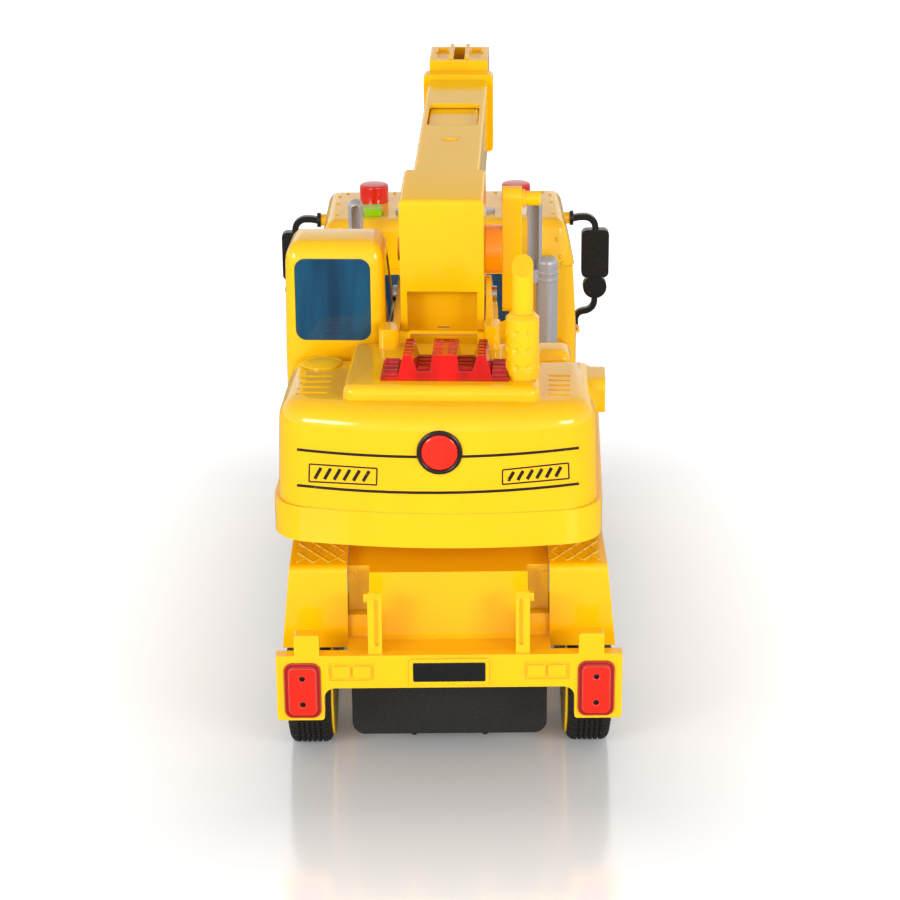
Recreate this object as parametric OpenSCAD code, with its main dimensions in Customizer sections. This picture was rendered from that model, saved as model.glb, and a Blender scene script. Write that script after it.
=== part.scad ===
// Toy truck crane: a six-wheel truck with a turning turret, a telescopic boom and a hand winch.
// +Z is up, the truck faces +Y, and the origin is on the ground under the middle of the truck.

/* [Pose at rest] */
// Turn of the turret to the right, in degrees
slew_rest = 2.7; // [-6:0.1:6]
// Lift of the boom above level, in degrees
boom_rest = 5.5; // [4:0.5:12]

/* [Truck] */
// Length over both bumpers
truck_l = 316; // [296:1:390]
// Width over the rear bumper
truck_w = 124; // [112:1:150]
// Width of the black pan under the chassis
pan_w = 73.2; // [64:0.2:76]
// Width of the ramp behind the turret
ramp_w = 57.4; // [50:0.2:62]
// Height of the chassis deck
deck_z = 85; // [82:1:104]
// Height of the ledge between the bumper and the rear ramp
ledge_z = 57.5; // [55:0.5:64]
// Wall of the moulded shells
wall = 2.4; // [2:0.1:2.8]
// Gap between faces that slide or turn past each other
run_gap = 0.3; // [0.25:0.05:0.4]
// Radial clearance of a pin or shaft in its bore
pin_gap = 0.06; // [0.03:0.01:0.1]

/* [Wheels] */
// Diameter over the tread
wheel_d = 54; // [46:1:60]
// Width of a tyre
tyre_w = 16.2; // [13:0.2:17]
// Diameter of the bore of a tyre
rim_d = 32.4; // [28:0.2:35]
// Diameter of the steel axles
axle_d = 4; // [3:0.1:5]
// Rear axle, ahead of the rear bumper
rear_axle_y = 54; // [50:1:66]
// Clear gap between the tyres of the two rear axles
tyre_gap = 6; // [4:0.5:10]
// Front axle, behind the front bumper
front_axle_back = 46; // [44:1:52]

/* [Rear bumper] */
// Height of the top edge
bumper_z = 58.5; // [56:0.5:66]
// Height of the bar in the middle
bumper_bar_h = 12.8; // [10:0.1:16]
// Height of the end blocks that carry the lamps
bumper_end_h = 25.4; // [22:0.1:30]
// Width of a tail lamp
lamp_w = 13; // [11:0.1:15]
// Height of a tail lamp
lamp_h = 21.4; // [17:0.1:22]

/* [Truck cab] */
// Length of the cab
cab_l = 68; // [60:1:76]
// Height of the joint between cab and roof
cab_joint_z = 133; // [122:1:140]
// Height of the roof
roof_z = 153.5; // [146:0.5:164]
// Distance between the middles of the two beacons
beacon_span = 64; // [56:0.5:70]
// Diameter of a beacon
beacon_d = 12.8; // [10:0.2:15]
// Height of a beacon above the roof
beacon_h = 8; // [6:0.5:10]
// Travel of a roof button
button_travel = 1.5; // [1:0.1:2]
// Distance between the middles of the two exhaust stacks
stack_span = 88; // [80:0.5:92]
// Diameter of an exhaust stack
stack_d = 9.5; // [8:0.1:11]
// Width of a mirror housing
mirror_w = 12.4; // [10:0.2:15]

/* [Turret] */
// Slew axis, ahead of the rear bumper
slew_y = 95; // [94:1:110]
// Width over the skirt
turret_w = 117.4; // [108:0.2:128]
// Reach of the tail behind the slew axis
tail_r = 93; // [84:1:94]
// How far the tail bows out behind its corners
tail_bow = 8; // [4:0.5:11]
// Height of the underside
turret_z = 99; // [96:1:118]
// Height of the skirt
skirt_h = 13; // [10:0.5:16]
// Height of the tail housing above the skirt
tail_h = 38; // [32:1:44]

/* [Operator cab] */
// Width of the operator cab
ocab_w = 37.6; // [33:0.1:38]
// Length of the operator cab at its floor
ocab_l = 58; // [50:1:70]
// Length of the operator cab's roof
ocab_roof_l = 27; // [22:1:32]
// Height of the operator cab above the skirt
ocab_h = 80; // [76:1:92]

/* [Boom] */
// Width of the boom root
root_w = 30.5; // [28:0.1:31]
// Width of the boom arm
arm_w = 24.9; // [23:0.1:27]
// Depth of the boom arm
arm_h = 29.4; // [27:0.2:33]
// Reach of the arm ahead of the boom pin
arm_l = 137.4; // [110:0.2:165]
// Travel of the telescopic section
reach = 85; // [60:1:90]
// Diameter of the boom pin
boom_pin_d = 6; // [5:0.1:7]
// Diameter of the winch hub
hub_d = 18; // [15:0.5:19]
// Length of the crank between its ends
crank_l = 48; // [40:1:50]

/* [Drive] */
// Module of the gears
gear_m = 0.8; // [0.7:0.05:0.85]
// Teeth of the axle gear
axle_teeth = 32; // [26:1:34]
// Teeth of the big idler gear
idler_teeth = 30; // [24:1:32]
// Teeth of both pinions
pinion_teeth = 10; // [9:1:12]

/* [Hidden] */
$fn = 48;
slab = 0.02;

// Truck frame: y runs forward from the rear bumper.
axle_z = wheel_d / 2;
mid_axle_y = rear_axle_y + wheel_d + tyre_gap;
front_axle_y = truck_l - front_axle_back;
tyre_out = truck_w / 2 - 1.5;
tyre_x = tyre_out - tyre_w / 2;
tyre_in = tyre_out - tyre_w;
rim_r = rim_d / 2;
flange_r = axle_z - 2.6;
pan_x = pan_w / 2;
pan_z = 10;
pan_front_z = 18;
pan_y = 34;
split_z = 50;
mid_deck_z = deck_z - 3;
bumper_t = 5;
ramp_x = ramp_w / 2;
fender_low_z = split_z + 4;
fender_low_x = truck_w / 2 - 1.4;
fender_top_x = truck_w / 2 - 4.5;
fender_back_y = rear_axle_y - wheel_d / 2 - 10;
fender_front_y = mid_axle_y + wheel_d / 2 + 10;
cab_front_y = truck_l - 8;
cab_y = cab_front_y - cab_l;
floor_z = wheel_d + 8;
platform_l = 33;
platform_w = truck_w - 18;
platform_z = mid_deck_z + 18;
cab_low_x = truck_w / 2 - 4;
cab_top_x = truck_w / 2 - 6;
lamp_x = truck_w / 2 - 2.8 - lamp_w / 2;
beacon_x = beacon_span / 2;
beacon_y = cab_y + 38;
button_y = beacon_y - 22.4;
button_size = [8.2, 8.4];
button_rise = 3.4;

// Turret frame: the slew axis is the origin of y.
turret_top = turret_z + skirt_h;
tail_z = turret_top + tail_h;
podium_z = tail_z + 5;
spindle_r = 9;
ring_r = pan_x - 0.2;
ring_plate = 3;
washer_t = 1.6;
washer_z = turret_z - 2 * run_gap - ring_plate - washer_t;
ocab_left = -turret_w / 2 + 0.2;
ocab_right = ocab_left + ocab_w;
ocab_y = -29;
ocab_z = turret_top + ocab_h;
tail_front = ocab_y - 0.3;
pivot_y = -8;
pivot_z = tail_z + 17;
tower_in = root_w / 2 + 0.35;
tower_out = min(-ocab_right - 0.4, tower_in + 3.8);
panel_x = root_w / 2 - wall - 0.45;

// Boom frame: the boom pin is the origin and y runs along the boom.
root_y = -21;
root_l = 33.2;
root_top = arm_h + 15.2;
arm_top = root_top - 4;
arm_low = arm_top - arm_h;
arm_wall = 1.9;
winch_y = 2.5;
winch_z = 17;
ext_gap = 0.35;
ext_wall = 1.8;
ext_l = reach + 29;
ext_w = arm_w - 2 * arm_wall - 2 * ext_gap;
ext_h = arm_h - 2 * arm_wall - 2 * ext_gap;
ext_mid_z = arm_low + arm_h / 2;
collar_l = 5.8;
head_y = arm_l + collar_l + 0.8;
head_l = 24;
head_top = arm_top + 6.3;
sheave_y = head_y + 12.2;
sheave_z = head_top - 12;
sheave_r = 8;
hook_y = head_y + 18.4;
hook_z = arm_low + 6.5;
slot_w = 4.6;
blade_t = 3.8;

// Drive train, ahead of the rear axle.
mesh_1 = gear_m * (axle_teeth + pinion_teeth) / 2;
mesh_2 = gear_m * (idler_teeth + pinion_teeth) / 2;
idler_y = rear_axle_y + mesh_1;
flywheel_y = idler_y + mesh_2;
frame_x = 14;
pressure_angle = 25;
backlash = 0.26;
addendum = 0.75;

yellow = "#ffd21a";
black = "#202022";
red = "#d81b22";
blue = "#2c86c8";
grey = "#a9adb2";
steel = "#c4c7cb";

module on_truck() translate([0, -truck_l / 2, 0]) children();
module on_turret() translate([0, slew_y - truck_l / 2, 0]) rotate(-slew_rest) children();
module on_boom() on_turret() translate([0, pivot_y, pivot_z]) rotate([boom_rest, 0, 0]) children();

// Draws a (y, z) outline and gives it a width along +X from x0.
module across(x0, width) translate([x0, 0, 0]) rotate([90, 0, 90]) linear_extrude(width) children();
// Draws an (x, z) outline and gives it a depth along +Y from y0.
module along(y0, depth) translate([0, y0 + depth, 0]) rotate([90, 0, 0]) linear_extrude(depth) children();
module both_sides() {
    children();
    mirror([1, 0, 0]) children();
}
module rod_x(r, x0, x1) translate([x0, 0, 0]) rotate([0, 90, 0]) cylinder(r = r, h = x1 - x0);

// Rectangle with true round corners, centred.
module round_rect(w, h, r) {
    square([w - 2 * r, h], center = true);
    square([w, h - 2 * r], center = true);
    for (sx = [-1, 1], sy = [-1, 1]) translate([sx * (w / 2 - r), sy * (h / 2 - r)]) circle(r);
}
// A bar with round ends between two points of a plane.
module bar(a, b, w) {
    d = b - a;
    translate(a) rotate(atan2(d.y, d.x)) translate([0, -w / 2]) square([norm(d), w]);
    translate(a) circle(w / 2);
    translate(b) circle(w / 2);
}
// Convex body on a plane outline: upright to z1 - r, then rounded over, with a draft per side.
module soft_block(z0, z1, r, draft = 0, steps = 9) {
    hull() {
        translate([0, 0, z0]) linear_extrude(slab) children();
        for (i = [0:steps]) {
            a = 90 * i / steps;
            translate([0, 0, z1 - r + r * sin(a) - slab])
                linear_extrude(slab) offset(delta = -draft - r * (1 - cos(a))) children();
        }
    }
}

function polar(r, a) = r * [cos(a), sin(a)];
function arc(c, r, a0, a1, n) = [for (i = [0:n]) c + polar(r, a0 + (a1 - a0) * i / n)];

// Involute gear outline.
function involute_turn(base, r) = let (p = acos(min(1, base / r))) tan(p) * 180 / PI - p;
function flank_turn(n, r) =
    let (pitch = n * gear_m / 2, base = pitch * cos(pressure_angle))
    90 / n - backlash / 2 / pitch * 180 / PI + involute_turn(base, pitch) - involute_turn(base, max(r, base));
function tooth(n, c) =
    let (pitch = n * gear_m / 2, low = pitch - gear_m, high = pitch + addendum * gear_m, steps = 5,
         radii = [for (j = [0:steps]) low + (high - low) * j / steps])
    concat([for (j = [0:steps]) polar(radii[j], c - flank_turn(n, radii[j]))],
           [for (j = [steps:-1:0]) polar(radii[j], c + flank_turn(n, radii[j]))]);
module gear(n, turn) polygon([for (i = [0:n - 1]) each tooth(n, turn + 360 * i / n)]);

// Chassis

function ramp_line(t) = [
    [bumper_t, ledge_z - t], [16 + t, ledge_z - t], [20.5 + t, mid_deck_z - t], [cab_y - wall, mid_deck_z - t]
];
// A sheet of the wall's thickness under an open line that runs forward.
module sheet(upper, lower) polygon(concat(upper, [for (i = [len(lower) - 1:-1:0]) lower[i]]));

fender_r = 2.6;
fender_lean = 2;
module fender_line(t, low) polygon(concat(
    [[fender_back_y + t, low]],
    arc([fender_back_y + fender_lean + fender_r, deck_z - fender_r], fender_r - t, 176, 90, 5),
    arc([fender_front_y - fender_lean - fender_r, deck_z - fender_r], fender_r - t, 90, 4, 5),
    [[fender_front_y - t, low]]
));

module chassis_shell() color(yellow) on_truck() {
    across(-ramp_x, 2 * ramp_x) sheet(ramp_line(0), ramp_line(wall));
    both_sides() {
        rail_step();
        rear_fender();
        front_arch();
        across(pan_x - wall, wall) translate([bumper_t, split_z])
            square([cab_y - bumper_t, ledge_z - split_z]);
        across(pan_x - wall, wall) translate([26, ledge_z - wall]) square([cab_y - 26, mid_deck_z - ledge_z]);
        across(pan_x - wall, wall) translate([cab_y - slab, split_z])
            square([cab_front_y - cab_y - 4, floor_z - split_z]);
    }
    for (p = screw_places()) translate([p.x, p.y, 0]) difference() {
        translate([0, 0, pan_z + wall]) cylinder(r = boss_r, h = mid_deck_z - pan_z - 2 * wall + 1);
        cylinder(r = screw_r + 0.05, h = pan_z + screw_l + 1);
    }
    translate([-pan_x, cab_y - wall, floor_z - wall]) cube([2 * pan_x, wall, mid_deck_z - floor_z + wall]);
    translate([-tyre_out - 2.2, cab_y - wall, floor_z - wall]) cube([2 * tyre_out + 4.4, cab_l + wall, wall]);
}
// The stepped channel beside the ramp.
module rail_step() {
    step_z = ledge_z + 8;
    across(ramp_x - slab, pan_x - ramp_x + slab) polygon([
        [bumper_t, ledge_z], [19, ledge_z], [20, step_z], [25, step_z], [27, mid_deck_z],
        [cab_y - wall, mid_deck_z], [cab_y - wall, mid_deck_z - wall], [27 + wall, mid_deck_z - wall],
        [25 + wall, step_z - wall], [20 + wall, step_z - wall], [19 + wall, ledge_z - wall],
        [bumper_t, ledge_z - wall]
    ]);
}
module rear_fender() difference() {
    fender_body(0, fender_low_z);
    fender_body(wall, fender_low_z - 1);
    for (y = [rear_axle_y, mid_axle_y])
        translate([0, y, axle_z]) rod_x(wheel_d / 2 + 7, fender_top_x - 3 * wall, truck_w);
}
// The side of the fender leans in towards the top.
module fender_body(inset, low) intersection() {
    across(pan_x - slab - inset, truck_w / 2) fender_line(inset, low);
    along(0, truck_l) polygon([
        [0, low], [fender_low_x - inset, low], [fender_top_x - inset, deck_z], [0, deck_z]
    ]);
}
module front_arch() {
    across(tyre_out + 0.6, 1.6) difference() {
        translate([cab_y - wall, 34]) square([cab_l + wall, floor_z - 34]);
        translate([front_axle_y, axle_z]) circle(wheel_d / 2 + 3.6);
    }
}

module base_pan() color(black) on_truck() {
    difference() {
        union() {
            pan_length(pan_y, mid_axle_y + 26, pan_z);
            pan_length(mid_axle_y + 26 - wall, cab_front_y - 6, pan_front_z);
            for (y = [rear_axle_y, mid_axle_y, front_axle_y]) both_sides()
                translate([0, y, axle_z]) rod_x(6, pan_x - wall - 2, pan_x + 1.2);
        }
        for (y = [rear_axle_y, mid_axle_y, front_axle_y])
            translate([0, y, axle_z]) rod_x(axle_d / 2 + pin_gap, -truck_w, truck_w);
        door_cut(0.25);
        speaker_slots();
        for (p = screw_places()) translate([p.x, p.y, 0]) cylinder(r = screw_r + 0.05, h = split_z);
    }
}
// A tray with round lower edges and closed ends.
module pan_length(y0, y1, low) {
    difference() {
        along(y0, y1 - y0) pan_section(low, 0);
        along(y0 + wall, y1 - y0 - 2 * wall) pan_section(low, wall);
    }
}
module pan_section(low, inset) {
    r = 5 - inset;
    w = 2 * (pan_x - inset);
    translate([-w / 2, low + inset + r]) square([w, split_z - low - inset - r + (inset > 0 ? 1 : 0)]);
    translate([-w / 2 + r, low + inset]) square([w - 2 * r, 2 * r]);
    for (s = [-1, 1]) translate([s * (w / 2 - r), low + inset + r]) circle(r);
}
door_y = mid_axle_y + 52;
door_size = [58, 46];
module door_cut(gap) translate([-door_size.x / 2 - gap, door_y - gap, pan_front_z - 1])
    cube([door_size.x + 2 * gap, door_size.y + 2 * gap, wall + 2]);
module battery_door() color(black) on_truck() {
    translate([-door_size.x / 2, door_y, pan_front_z]) cube([door_size.x, door_size.y, wall]);
    for (i = [0:4]) translate([-8, door_y + 5 + 2.4 * i, pan_front_z - 0.5]) cube([16, 1, 0.6]);
}
cell_r = 7.1;
module battery_cells() color("#5a6a3c") on_truck()
    for (i = [0, 1]) translate([0, door_y + 14 + i * 18, pan_front_z + wall + cell_r + 0.1]) {
        rod_x(cell_r, -24, 24);
        rod_x(2.6, 23.9, 25.4);
    }
screw_r = 1.55;
screw_l = 9;
boss_r = 3.6;
function screw_places() = [for (y = [pan_y + 7, mid_axle_y + 20], s = [-1, 1]) [s * 13.6, y]];
module pan_screws() color(steel) on_truck() for (p = screw_places()) translate([p.x, p.y, pan_z]) {
    difference() {
        translate([0, 0, -1.2]) cylinder(r = 2.9, h = 1.2);
        translate([-0.4, -3, -1.3]) cube([0.8, 6, 0.7]);
    }
    translate([0, 0, -0.1]) cylinder(r = screw_r, h = screw_l);
}
speaker_y = front_axle_y - 28;
module speaker_slots() for (i = [-3:3])
    translate([-9, speaker_y + i * 3 - 0.7, pan_front_z - 1]) cube([18, 1.4, 5]);
module speaker() color("#3a3b3e") on_truck() translate([0, speaker_y, pan_front_z + wall]) {
    cylinder(r = 13, h = 2.4);
    translate([0, 0, 2.3]) cylinder(r1 = 11, r2 = 7, h = 4);
    translate([0, 0, 6.2]) cylinder(r = 7.4, h = 4);
}

lug = [9, 8];
lug_x = lamp_x - 1.8;
lamp_r = 3;
lamp_step = 1.5;
lamp_screw_z = 5.1;
pad = [6.4, 4.4];
pad_x = lamp_x - 17.7;
pad_step = 7.3;
pad_frame = [16.2, 6.8];
plate = [25.8, 7.3];
plate_border = 1.4;
bumper_mid_z = bumper_z - bumper_bar_h / 2;
lamp_mid_z = bumper_z - bumper_end_h / 2 - 0.8;
module rear_bumper() color(yellow) on_truck() {
    difference() {
        along(0, bumper_t) bumper_face();
        both_sides() {
            along(-1, 3) translate([lamp_x, lamp_mid_z])
                round_rect(lamp_w + 0.1, lamp_h + 0.1, lamp_r + 0.05);
            along(-1, 1.6) translate([pad_x, bumper_mid_z]) round_rect(pad_frame.x, pad_frame.y, 0.8);
        }
    }
    both_sides() along(-0.2, 1) for (s = [-1, 1])
        translate([pad_x + s * pad_step / 2, bumper_mid_z]) round_rect(pad.x, pad.y, 0.8);
    along(-0.8, 1) translate([0, bumper_mid_z]) difference() {
        round_rect(plate.x + 2 * plate_border, plate.y + 2 * plate_border, 1);
        round_rect(plate.x + 0.1, plate.y + 0.1, 0.6);
    }
    both_sides() gusset();
}
module bumper_face() {
    end_w = lamp_w + 4;
    fillet = 4;
    difference() {
        union() {
            translate([-truck_w / 2, bumper_z - bumper_bar_h]) square([truck_w, bumper_bar_h]);
            both_sides() translate([truck_w / 2 - end_w / 2, bumper_z - bumper_end_h / 2])
                round_rect(end_w, bumper_end_h, 1.2);
            both_sides() translate([lug_x, bumper_z]) round_rect(lug.x, 2 * lug.y, 1);
            both_sides() translate([truck_w / 2 - end_w - fillet, bumper_z - bumper_bar_h - fillet])
                square(fillet + 2);
        }
        both_sides() translate([truck_w / 2 - end_w - fillet, bumper_z - bumper_bar_h - fillet])
            circle(fillet);
    }
}
// Upright web that ties the bumper to the deck, with a small flag on its upper end.
gusset_w = 5;
gusset_x = ramp_x - 4.8;
gusset_h = 23.5;
flag = [1.4, 3];
module gusset() {
    difference() {
        across(gusset_x, gusset_w) polygon([
            [bumper_t, ledge_z], [1, bumper_z], [1, bumper_z + gusset_h - 2.5],
            [3, bumper_z + gusset_h], [16, bumper_z + 6], [16, ledge_z]
        ]);
        translate([gusset_x + gusset_w / 2 - 0.6, 0, bumper_z + 4]) along_slot(1.5, gusset_h - 7);
    }
    translate([gusset_x + gusset_w - slab, 2.2, bumper_z + gusset_h - 3.6]) cube([flag.x, 3, flag.y]);
}
module along_slot(w, h) along(-1, 2.9) {
    translate([-w / 2, 0]) square([w, h]);
    circle(w / 2);
    translate([0, h]) circle(w / 2);
}
module tail_lamps() color(red) on_truck() both_sides() translate([lamp_x, 0, lamp_mid_z]) difference() {
    union() {
        along(-0.6, 2.6) round_rect(lamp_w, lamp_h, lamp_r);
        along(-1.4, 1) round_rect(lamp_w - 2 * lamp_step, lamp_h - 2 * lamp_step, lamp_r - 1);
    }
    for (s = [-1, 1]) translate([0, 0, s * lamp_screw_z]) along(-2, 1.6) circle(1.1);
}
module number_plate() color(black) on_truck()
    along(-0.9, 0.9) translate([0, bumper_mid_z]) round_rect(plate.x, plate.y, 0.5);

module slew_ring() color(yellow) on_truck() translate([0, slew_y, mid_deck_z]) difference() {
    h = turret_z - run_gap - mid_deck_z;
    cylinder(r = ring_r, h = h, $fn = 96);
    translate([0, 0, -1]) cylinder(r = ring_r - 5, h = h + 1 - ring_plate, $fn = 96);
    cylinder(r = spindle_r + pin_gap, h = h + 1);
}
module rear_platform() color(yellow) on_truck() {
    h = platform_z - mid_deck_z;
    l = platform_l - 0.4;
    translate([0, cab_y - platform_l / 2, mid_deck_z]) difference() {
        linear_extrude(h) round_rect(platform_w, l, 6);
        translate([0, 0, -1]) linear_extrude(h + 1 - wall) round_rect(platform_w - 2 * wall, l - 2 * wall, 4);
    }
}
module side_lockers() color(yellow) on_truck() both_sides() {
    y = fender_front_y + 4;
    l = cab_y - 6 - y;
    w = fender_top_x - pan_x;
    h = mid_deck_z - split_z;
    door = [l / 2 - 8, h - 8];
    translate([pan_x, y, split_z]) difference() {
        cube([w, l, h]);
        translate([-1, wall, wall]) cube([w - wall + 1, l - 2 * wall, h - 2 * wall]);
        for (i = [0, 1]) translate([w - 0.8, 4 + i * l / 2, 4]) difference() {
            cube([2, door.x, door.y]);
            translate([-1, 1, 1]) cube([4, door.x - 2, door.y - 2]);
        }
    }
}

// Wheels and drive

module axle(y) color(steel) on_truck() translate([0, y, axle_z])
    rod_x(axle_d / 2, -tyre_out + 3, tyre_out - 3);
hub_boss_r = 5;
hub_cup_r = 6.5;
hub_hole_r = 2.3;
hub_hole_at = 10.4;
module hubs(y) color(yellow) on_truck() both_sides() translate([0, y, axle_z]) difference() {
    union() {
        rod_x(rim_r, tyre_in, tyre_out - 3);
        rod_x(flange_r, tyre_in - 0.9, tyre_in - 0.05);
        rod_x(rim_r - 1, tyre_in - 0.3, tyre_in + 1);
        rod_x(hub_boss_r, pan_x + 1.7, tyre_out - 1);
    }
    rod_x(axle_d / 2 + 0.02, 0, tyre_out - 2.9);
    difference() {
        rod_x(rim_r - 2.2, tyre_out - 7, tyre_out);
        rod_x(hub_cup_r, 0, truck_w);
    }
    for (i = [0:4]) rotate([72 * i, 0, 0]) translate([0, hub_hole_at, 0]) rod_x(hub_hole_r, 0, truck_w);
}
lugs = 36;
groove = [1.1, 1.2];
shoulder_r = 3.2;
module tyres(y) color(black) on_truck() both_sides() translate([tyre_x, y, axle_z]) difference() {
    rotate([0, 90, 0]) rotate_extrude($fn = 96) tyre_section();
    for (i = [0:lugs - 1]) rotate([360 * i / lugs, 0, 0])
        translate([-tyre_w / 2 - 1, -groove.x / 2, wheel_d / 2 - groove.y]) cube([tyre_w + 2, groove.x, 3]);
}
module tyre_section() {
    r = wheel_d / 2;
    polygon(concat(
        [[rim_r + 0.02, -tyre_w / 2]],
        arc([r - shoulder_r, -tyre_w / 2 + shoulder_r], shoulder_r, -90, 0, 5),
        arc([r - shoulder_r, tyre_w / 2 - shoulder_r], shoulder_r, 0, 90, 5),
        [[rim_r + 2.4, tyre_w / 2], [rim_r + 1.6, tyre_w / 2 - 1.2], [rim_r + 0.02, tyre_w / 2 - 1.6]]));
}
module rear_axle() axle(rear_axle_y);
module mid_axle() axle(mid_axle_y);
module front_axle() axle(front_axle_y);
module rear_hubs() hubs(rear_axle_y);
module mid_hubs() hubs(mid_axle_y);
module front_hubs() hubs(front_axle_y);
module rear_tyres() tyres(rear_axle_y);
module mid_tyres() tyres(mid_axle_y);
module front_tyres() tyres(front_axle_y);

module drive_gear() color("#e8e4d8") on_truck() translate([0, rear_axle_y, axle_z]) difference() {
    union() {
        across(-9, 4) gear(axle_teeth, 0);
        rod_x(4.4, -11, -3.6);
    }
    rod_x(axle_d / 2 + 0.02, -20, 20);
}
module idler_gear() color("#e8e4d8") on_truck() translate([0, idler_y, axle_z]) {
    across(-10, 7) gear(pinion_teeth, 180 + 180 / pinion_teeth);
    across(-3.1, 3.6) gear(idler_teeth, 0);
    rod_x(1.2, -frame_x - 2, frame_x + 2);
}
module flywheel() color(steel) on_truck() translate([0, flywheel_y, axle_z]) {
    across(-4.5, 6.5) gear(pinion_teeth, 180 + 180 / pinion_teeth);
    rod_x(12, 1.9, 10);
    rod_x(1.2, -frame_x - 2, frame_x + 2);
}
module motor_frame() color("#e8e4d8") on_truck() {
    low = pan_z + wall;
    y0 = rear_axle_y + axle_d + 1;
    y1 = flywheel_y + 6;
    difference() {
        union() {
            both_sides() across(frame_x, 2) translate([y0, low]) square([y1 - y0, axle_z + 8 - low]);
            translate([-frame_x - 1, idler_y - 6, low]) cube([2 * frame_x + 2, 3, 1.4]);
            translate([-frame_x - 1, y1 - 3, low]) cube([2 * frame_x + 2, 3, 1.4]);
        }
        for (y = [idler_y, flywheel_y]) translate([0, y, axle_z]) rod_x(1.2 + pin_gap, -30, 30);
    }
}

// Truck cab

// Above the belt the cab's sides lean in and its front leans back.
cab_r = 6;
cab_lean = 7;
belt_z = platform_z + 1;
module cab_form(inset, low = floor_z, top = cab_joint_z) {
    x = cab_low_x - inset;
    y = cab_front_y - inset;
    lean_in = 2 * (cab_low_x - cab_top_x);
    lean_back = 2 * cab_lean;
    rise = 2 * (cab_joint_z - belt_z);
    intersection() {
        translate([0, cab_y + cab_l / 2, low]) linear_extrude(top - low)
            round_rect(2 * x, cab_l - 2 * inset, cab_r - inset);
        along(cab_y - 1, cab_l + 2) polygon([
            [-x - lean_in, belt_z - rise], [x + lean_in, belt_z - rise],
            [x - lean_in, belt_z + rise], [-x + lean_in, belt_z + rise]
        ]);
        across(-truck_w, 2 * truck_w) polygon([
            [cab_y - 1, belt_z - rise], [y + lean_back, belt_z - rise],
            [y - lean_back, belt_z + rise], [cab_y - 1, belt_z + rise]
        ]);
    }
}
window_z = platform_z + 8;
window_h = cab_joint_z - window_z - 3;
rear_window_w = 56;
windscreen_w = 2 * cab_low_x - 23;
door_window_l = 34;
door_window_y = cab_y + 35.4;
module cab_windows(grow) {
    mid = window_z + window_h / 2;
    along(cab_y - 5, 14) translate([0, mid])
        round_rect(rear_window_w + 2 * grow, window_h + 2 * grow, 4 + grow);
    along(cab_front_y - 16, 20) translate([0, mid - 1])
        round_rect(windscreen_w + 2 * grow, window_h + 2 + 2 * grow, 5 + grow);
    both_sides() across(cab_top_x - 10, 20) translate([door_window_y, mid])
        round_rect(door_window_l + 2 * grow, window_h + 2 * grow, 4 + grow);
}
module cab_body() color(yellow) on_truck() difference() {
    cab_form(0);
    cab_form(wall, floor_z + wall, cab_joint_z + 1);
    cab_windows(0);
}
// A pane fills its opening and has a lip behind the wall.
glass_t = 1.2;
glass_lip = 1.5;
glass_sunk = 0.35;
module cab_glass() color(blue) on_truck() {
    intersection() {
        difference() {
            cab_form(wall + 0.05);
            cab_form(wall + glass_t);
        }
        cab_windows(glass_lip);
    }
    intersection() {
        difference() {
            cab_form(glass_sunk);
            cab_form(wall + glass_t / 2);
        }
        cab_windows(-0.08);
    }
}
module cab_seat() color(black) on_truck() translate([0, cab_y + 12, floor_z + wall]) {
    along(0, 8) translate([0, 27]) round_rect(70, 54, 5);
    along(7.9, 18) translate([0, 11]) round_rect(70, 22, 4);
}
module roof_outline() translate([0, cab_y + cab_l / 2 - 2.5]) offset(r = 7, $fn = 32)
    square([2 * cab_top_x + 1.6 - 14, cab_l - 4 - 14], center = true);
roof_draft = 3.4;
module cab_roof() color(yellow) on_truck() difference() {
    union() {
        difference() {
            soft_block(cab_joint_z, roof_z, 6, roof_draft) roof_outline();
            soft_block(cab_joint_z - 1, roof_z - wall, 5, roof_draft, 4) offset(delta = -wall) roof_outline();
        }
        board_posts();
        both_sides() translate([0, mirror_y, mirror_z])
            rod_x(mirror_boss_r, mirror_foot - 6, mirror_foot - 0.02);
    }
    both_sides() translate([beacon_x, beacon_y, roof_z - 5]) cylinder(r = 4.05, h = 10);
    both_sides() button_hole();
}
module button_hole() translate([beacon_x, button_y, roof_z - 5])
    linear_extrude(8) round_rect(button_size.x + 2 * run_gap, button_size.y + 2 * run_gap, 1.8);
board_z = roof_z - 13;
module board_posts() for (sx = [-1, 1], sy = [-1, 1])
    translate([sx * 22, beacon_y + sy * 12, board_z + 1.6]) cylinder(r = 2.2, h = roof_z - board_z - 3);
module circuit_board() color("#2f7a45") on_truck() {
    translate([0, beacon_y - 2, board_z]) linear_extrude(1.6) round_rect(2 * beacon_x + 14, 36, 2);
    switch_z = board_z + 1.5;
    switch_top = roof_z - wall - 2 - button_travel - 0.1;
    both_sides() translate([beacon_x - 3, button_y - 3, switch_z]) cube([6, 6, switch_top - switch_z]);
}
module beacons() color(red) on_truck() both_sides() translate([beacon_x, beacon_y, roof_z]) {
    rotate_extrude() polygon(concat([[0, 0], [beacon_d / 2, 0]],
        arc([beacon_d / 2 - 1, beacon_h - 1], 1, 0, 90, 5), [[0, beacon_h]]));
    translate([0, 0, -wall]) cylinder(r = 4, h = wall + 1);
}
module roof_strip() color(grey) on_truck()
    translate([0, button_y + 1, roof_z]) linear_extrude(1.6) round_rect(44, 5, 2);
module button(colour) color(colour) on_truck() {
    translate([beacon_x, button_y, roof_z - wall - 2]) linear_extrude(wall + 2 + button_rise)
        round_rect(button_size.x, button_size.y, 1.5);
    translate([beacon_x, button_y, roof_z - wall - 2]) linear_extrude(2 - run_gap)
        round_rect(button_size.x + 3, button_size.y + 3, 2);
}
module green_button() mirror([1, 0, 0]) button("#4fd11f");
module white_button() button("#f4f4f0");
grille_w = 64;
headlamp_x = cab_low_x - 13.4;
fog_lamp_x = truck_w / 2 - 17.4;
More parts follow.
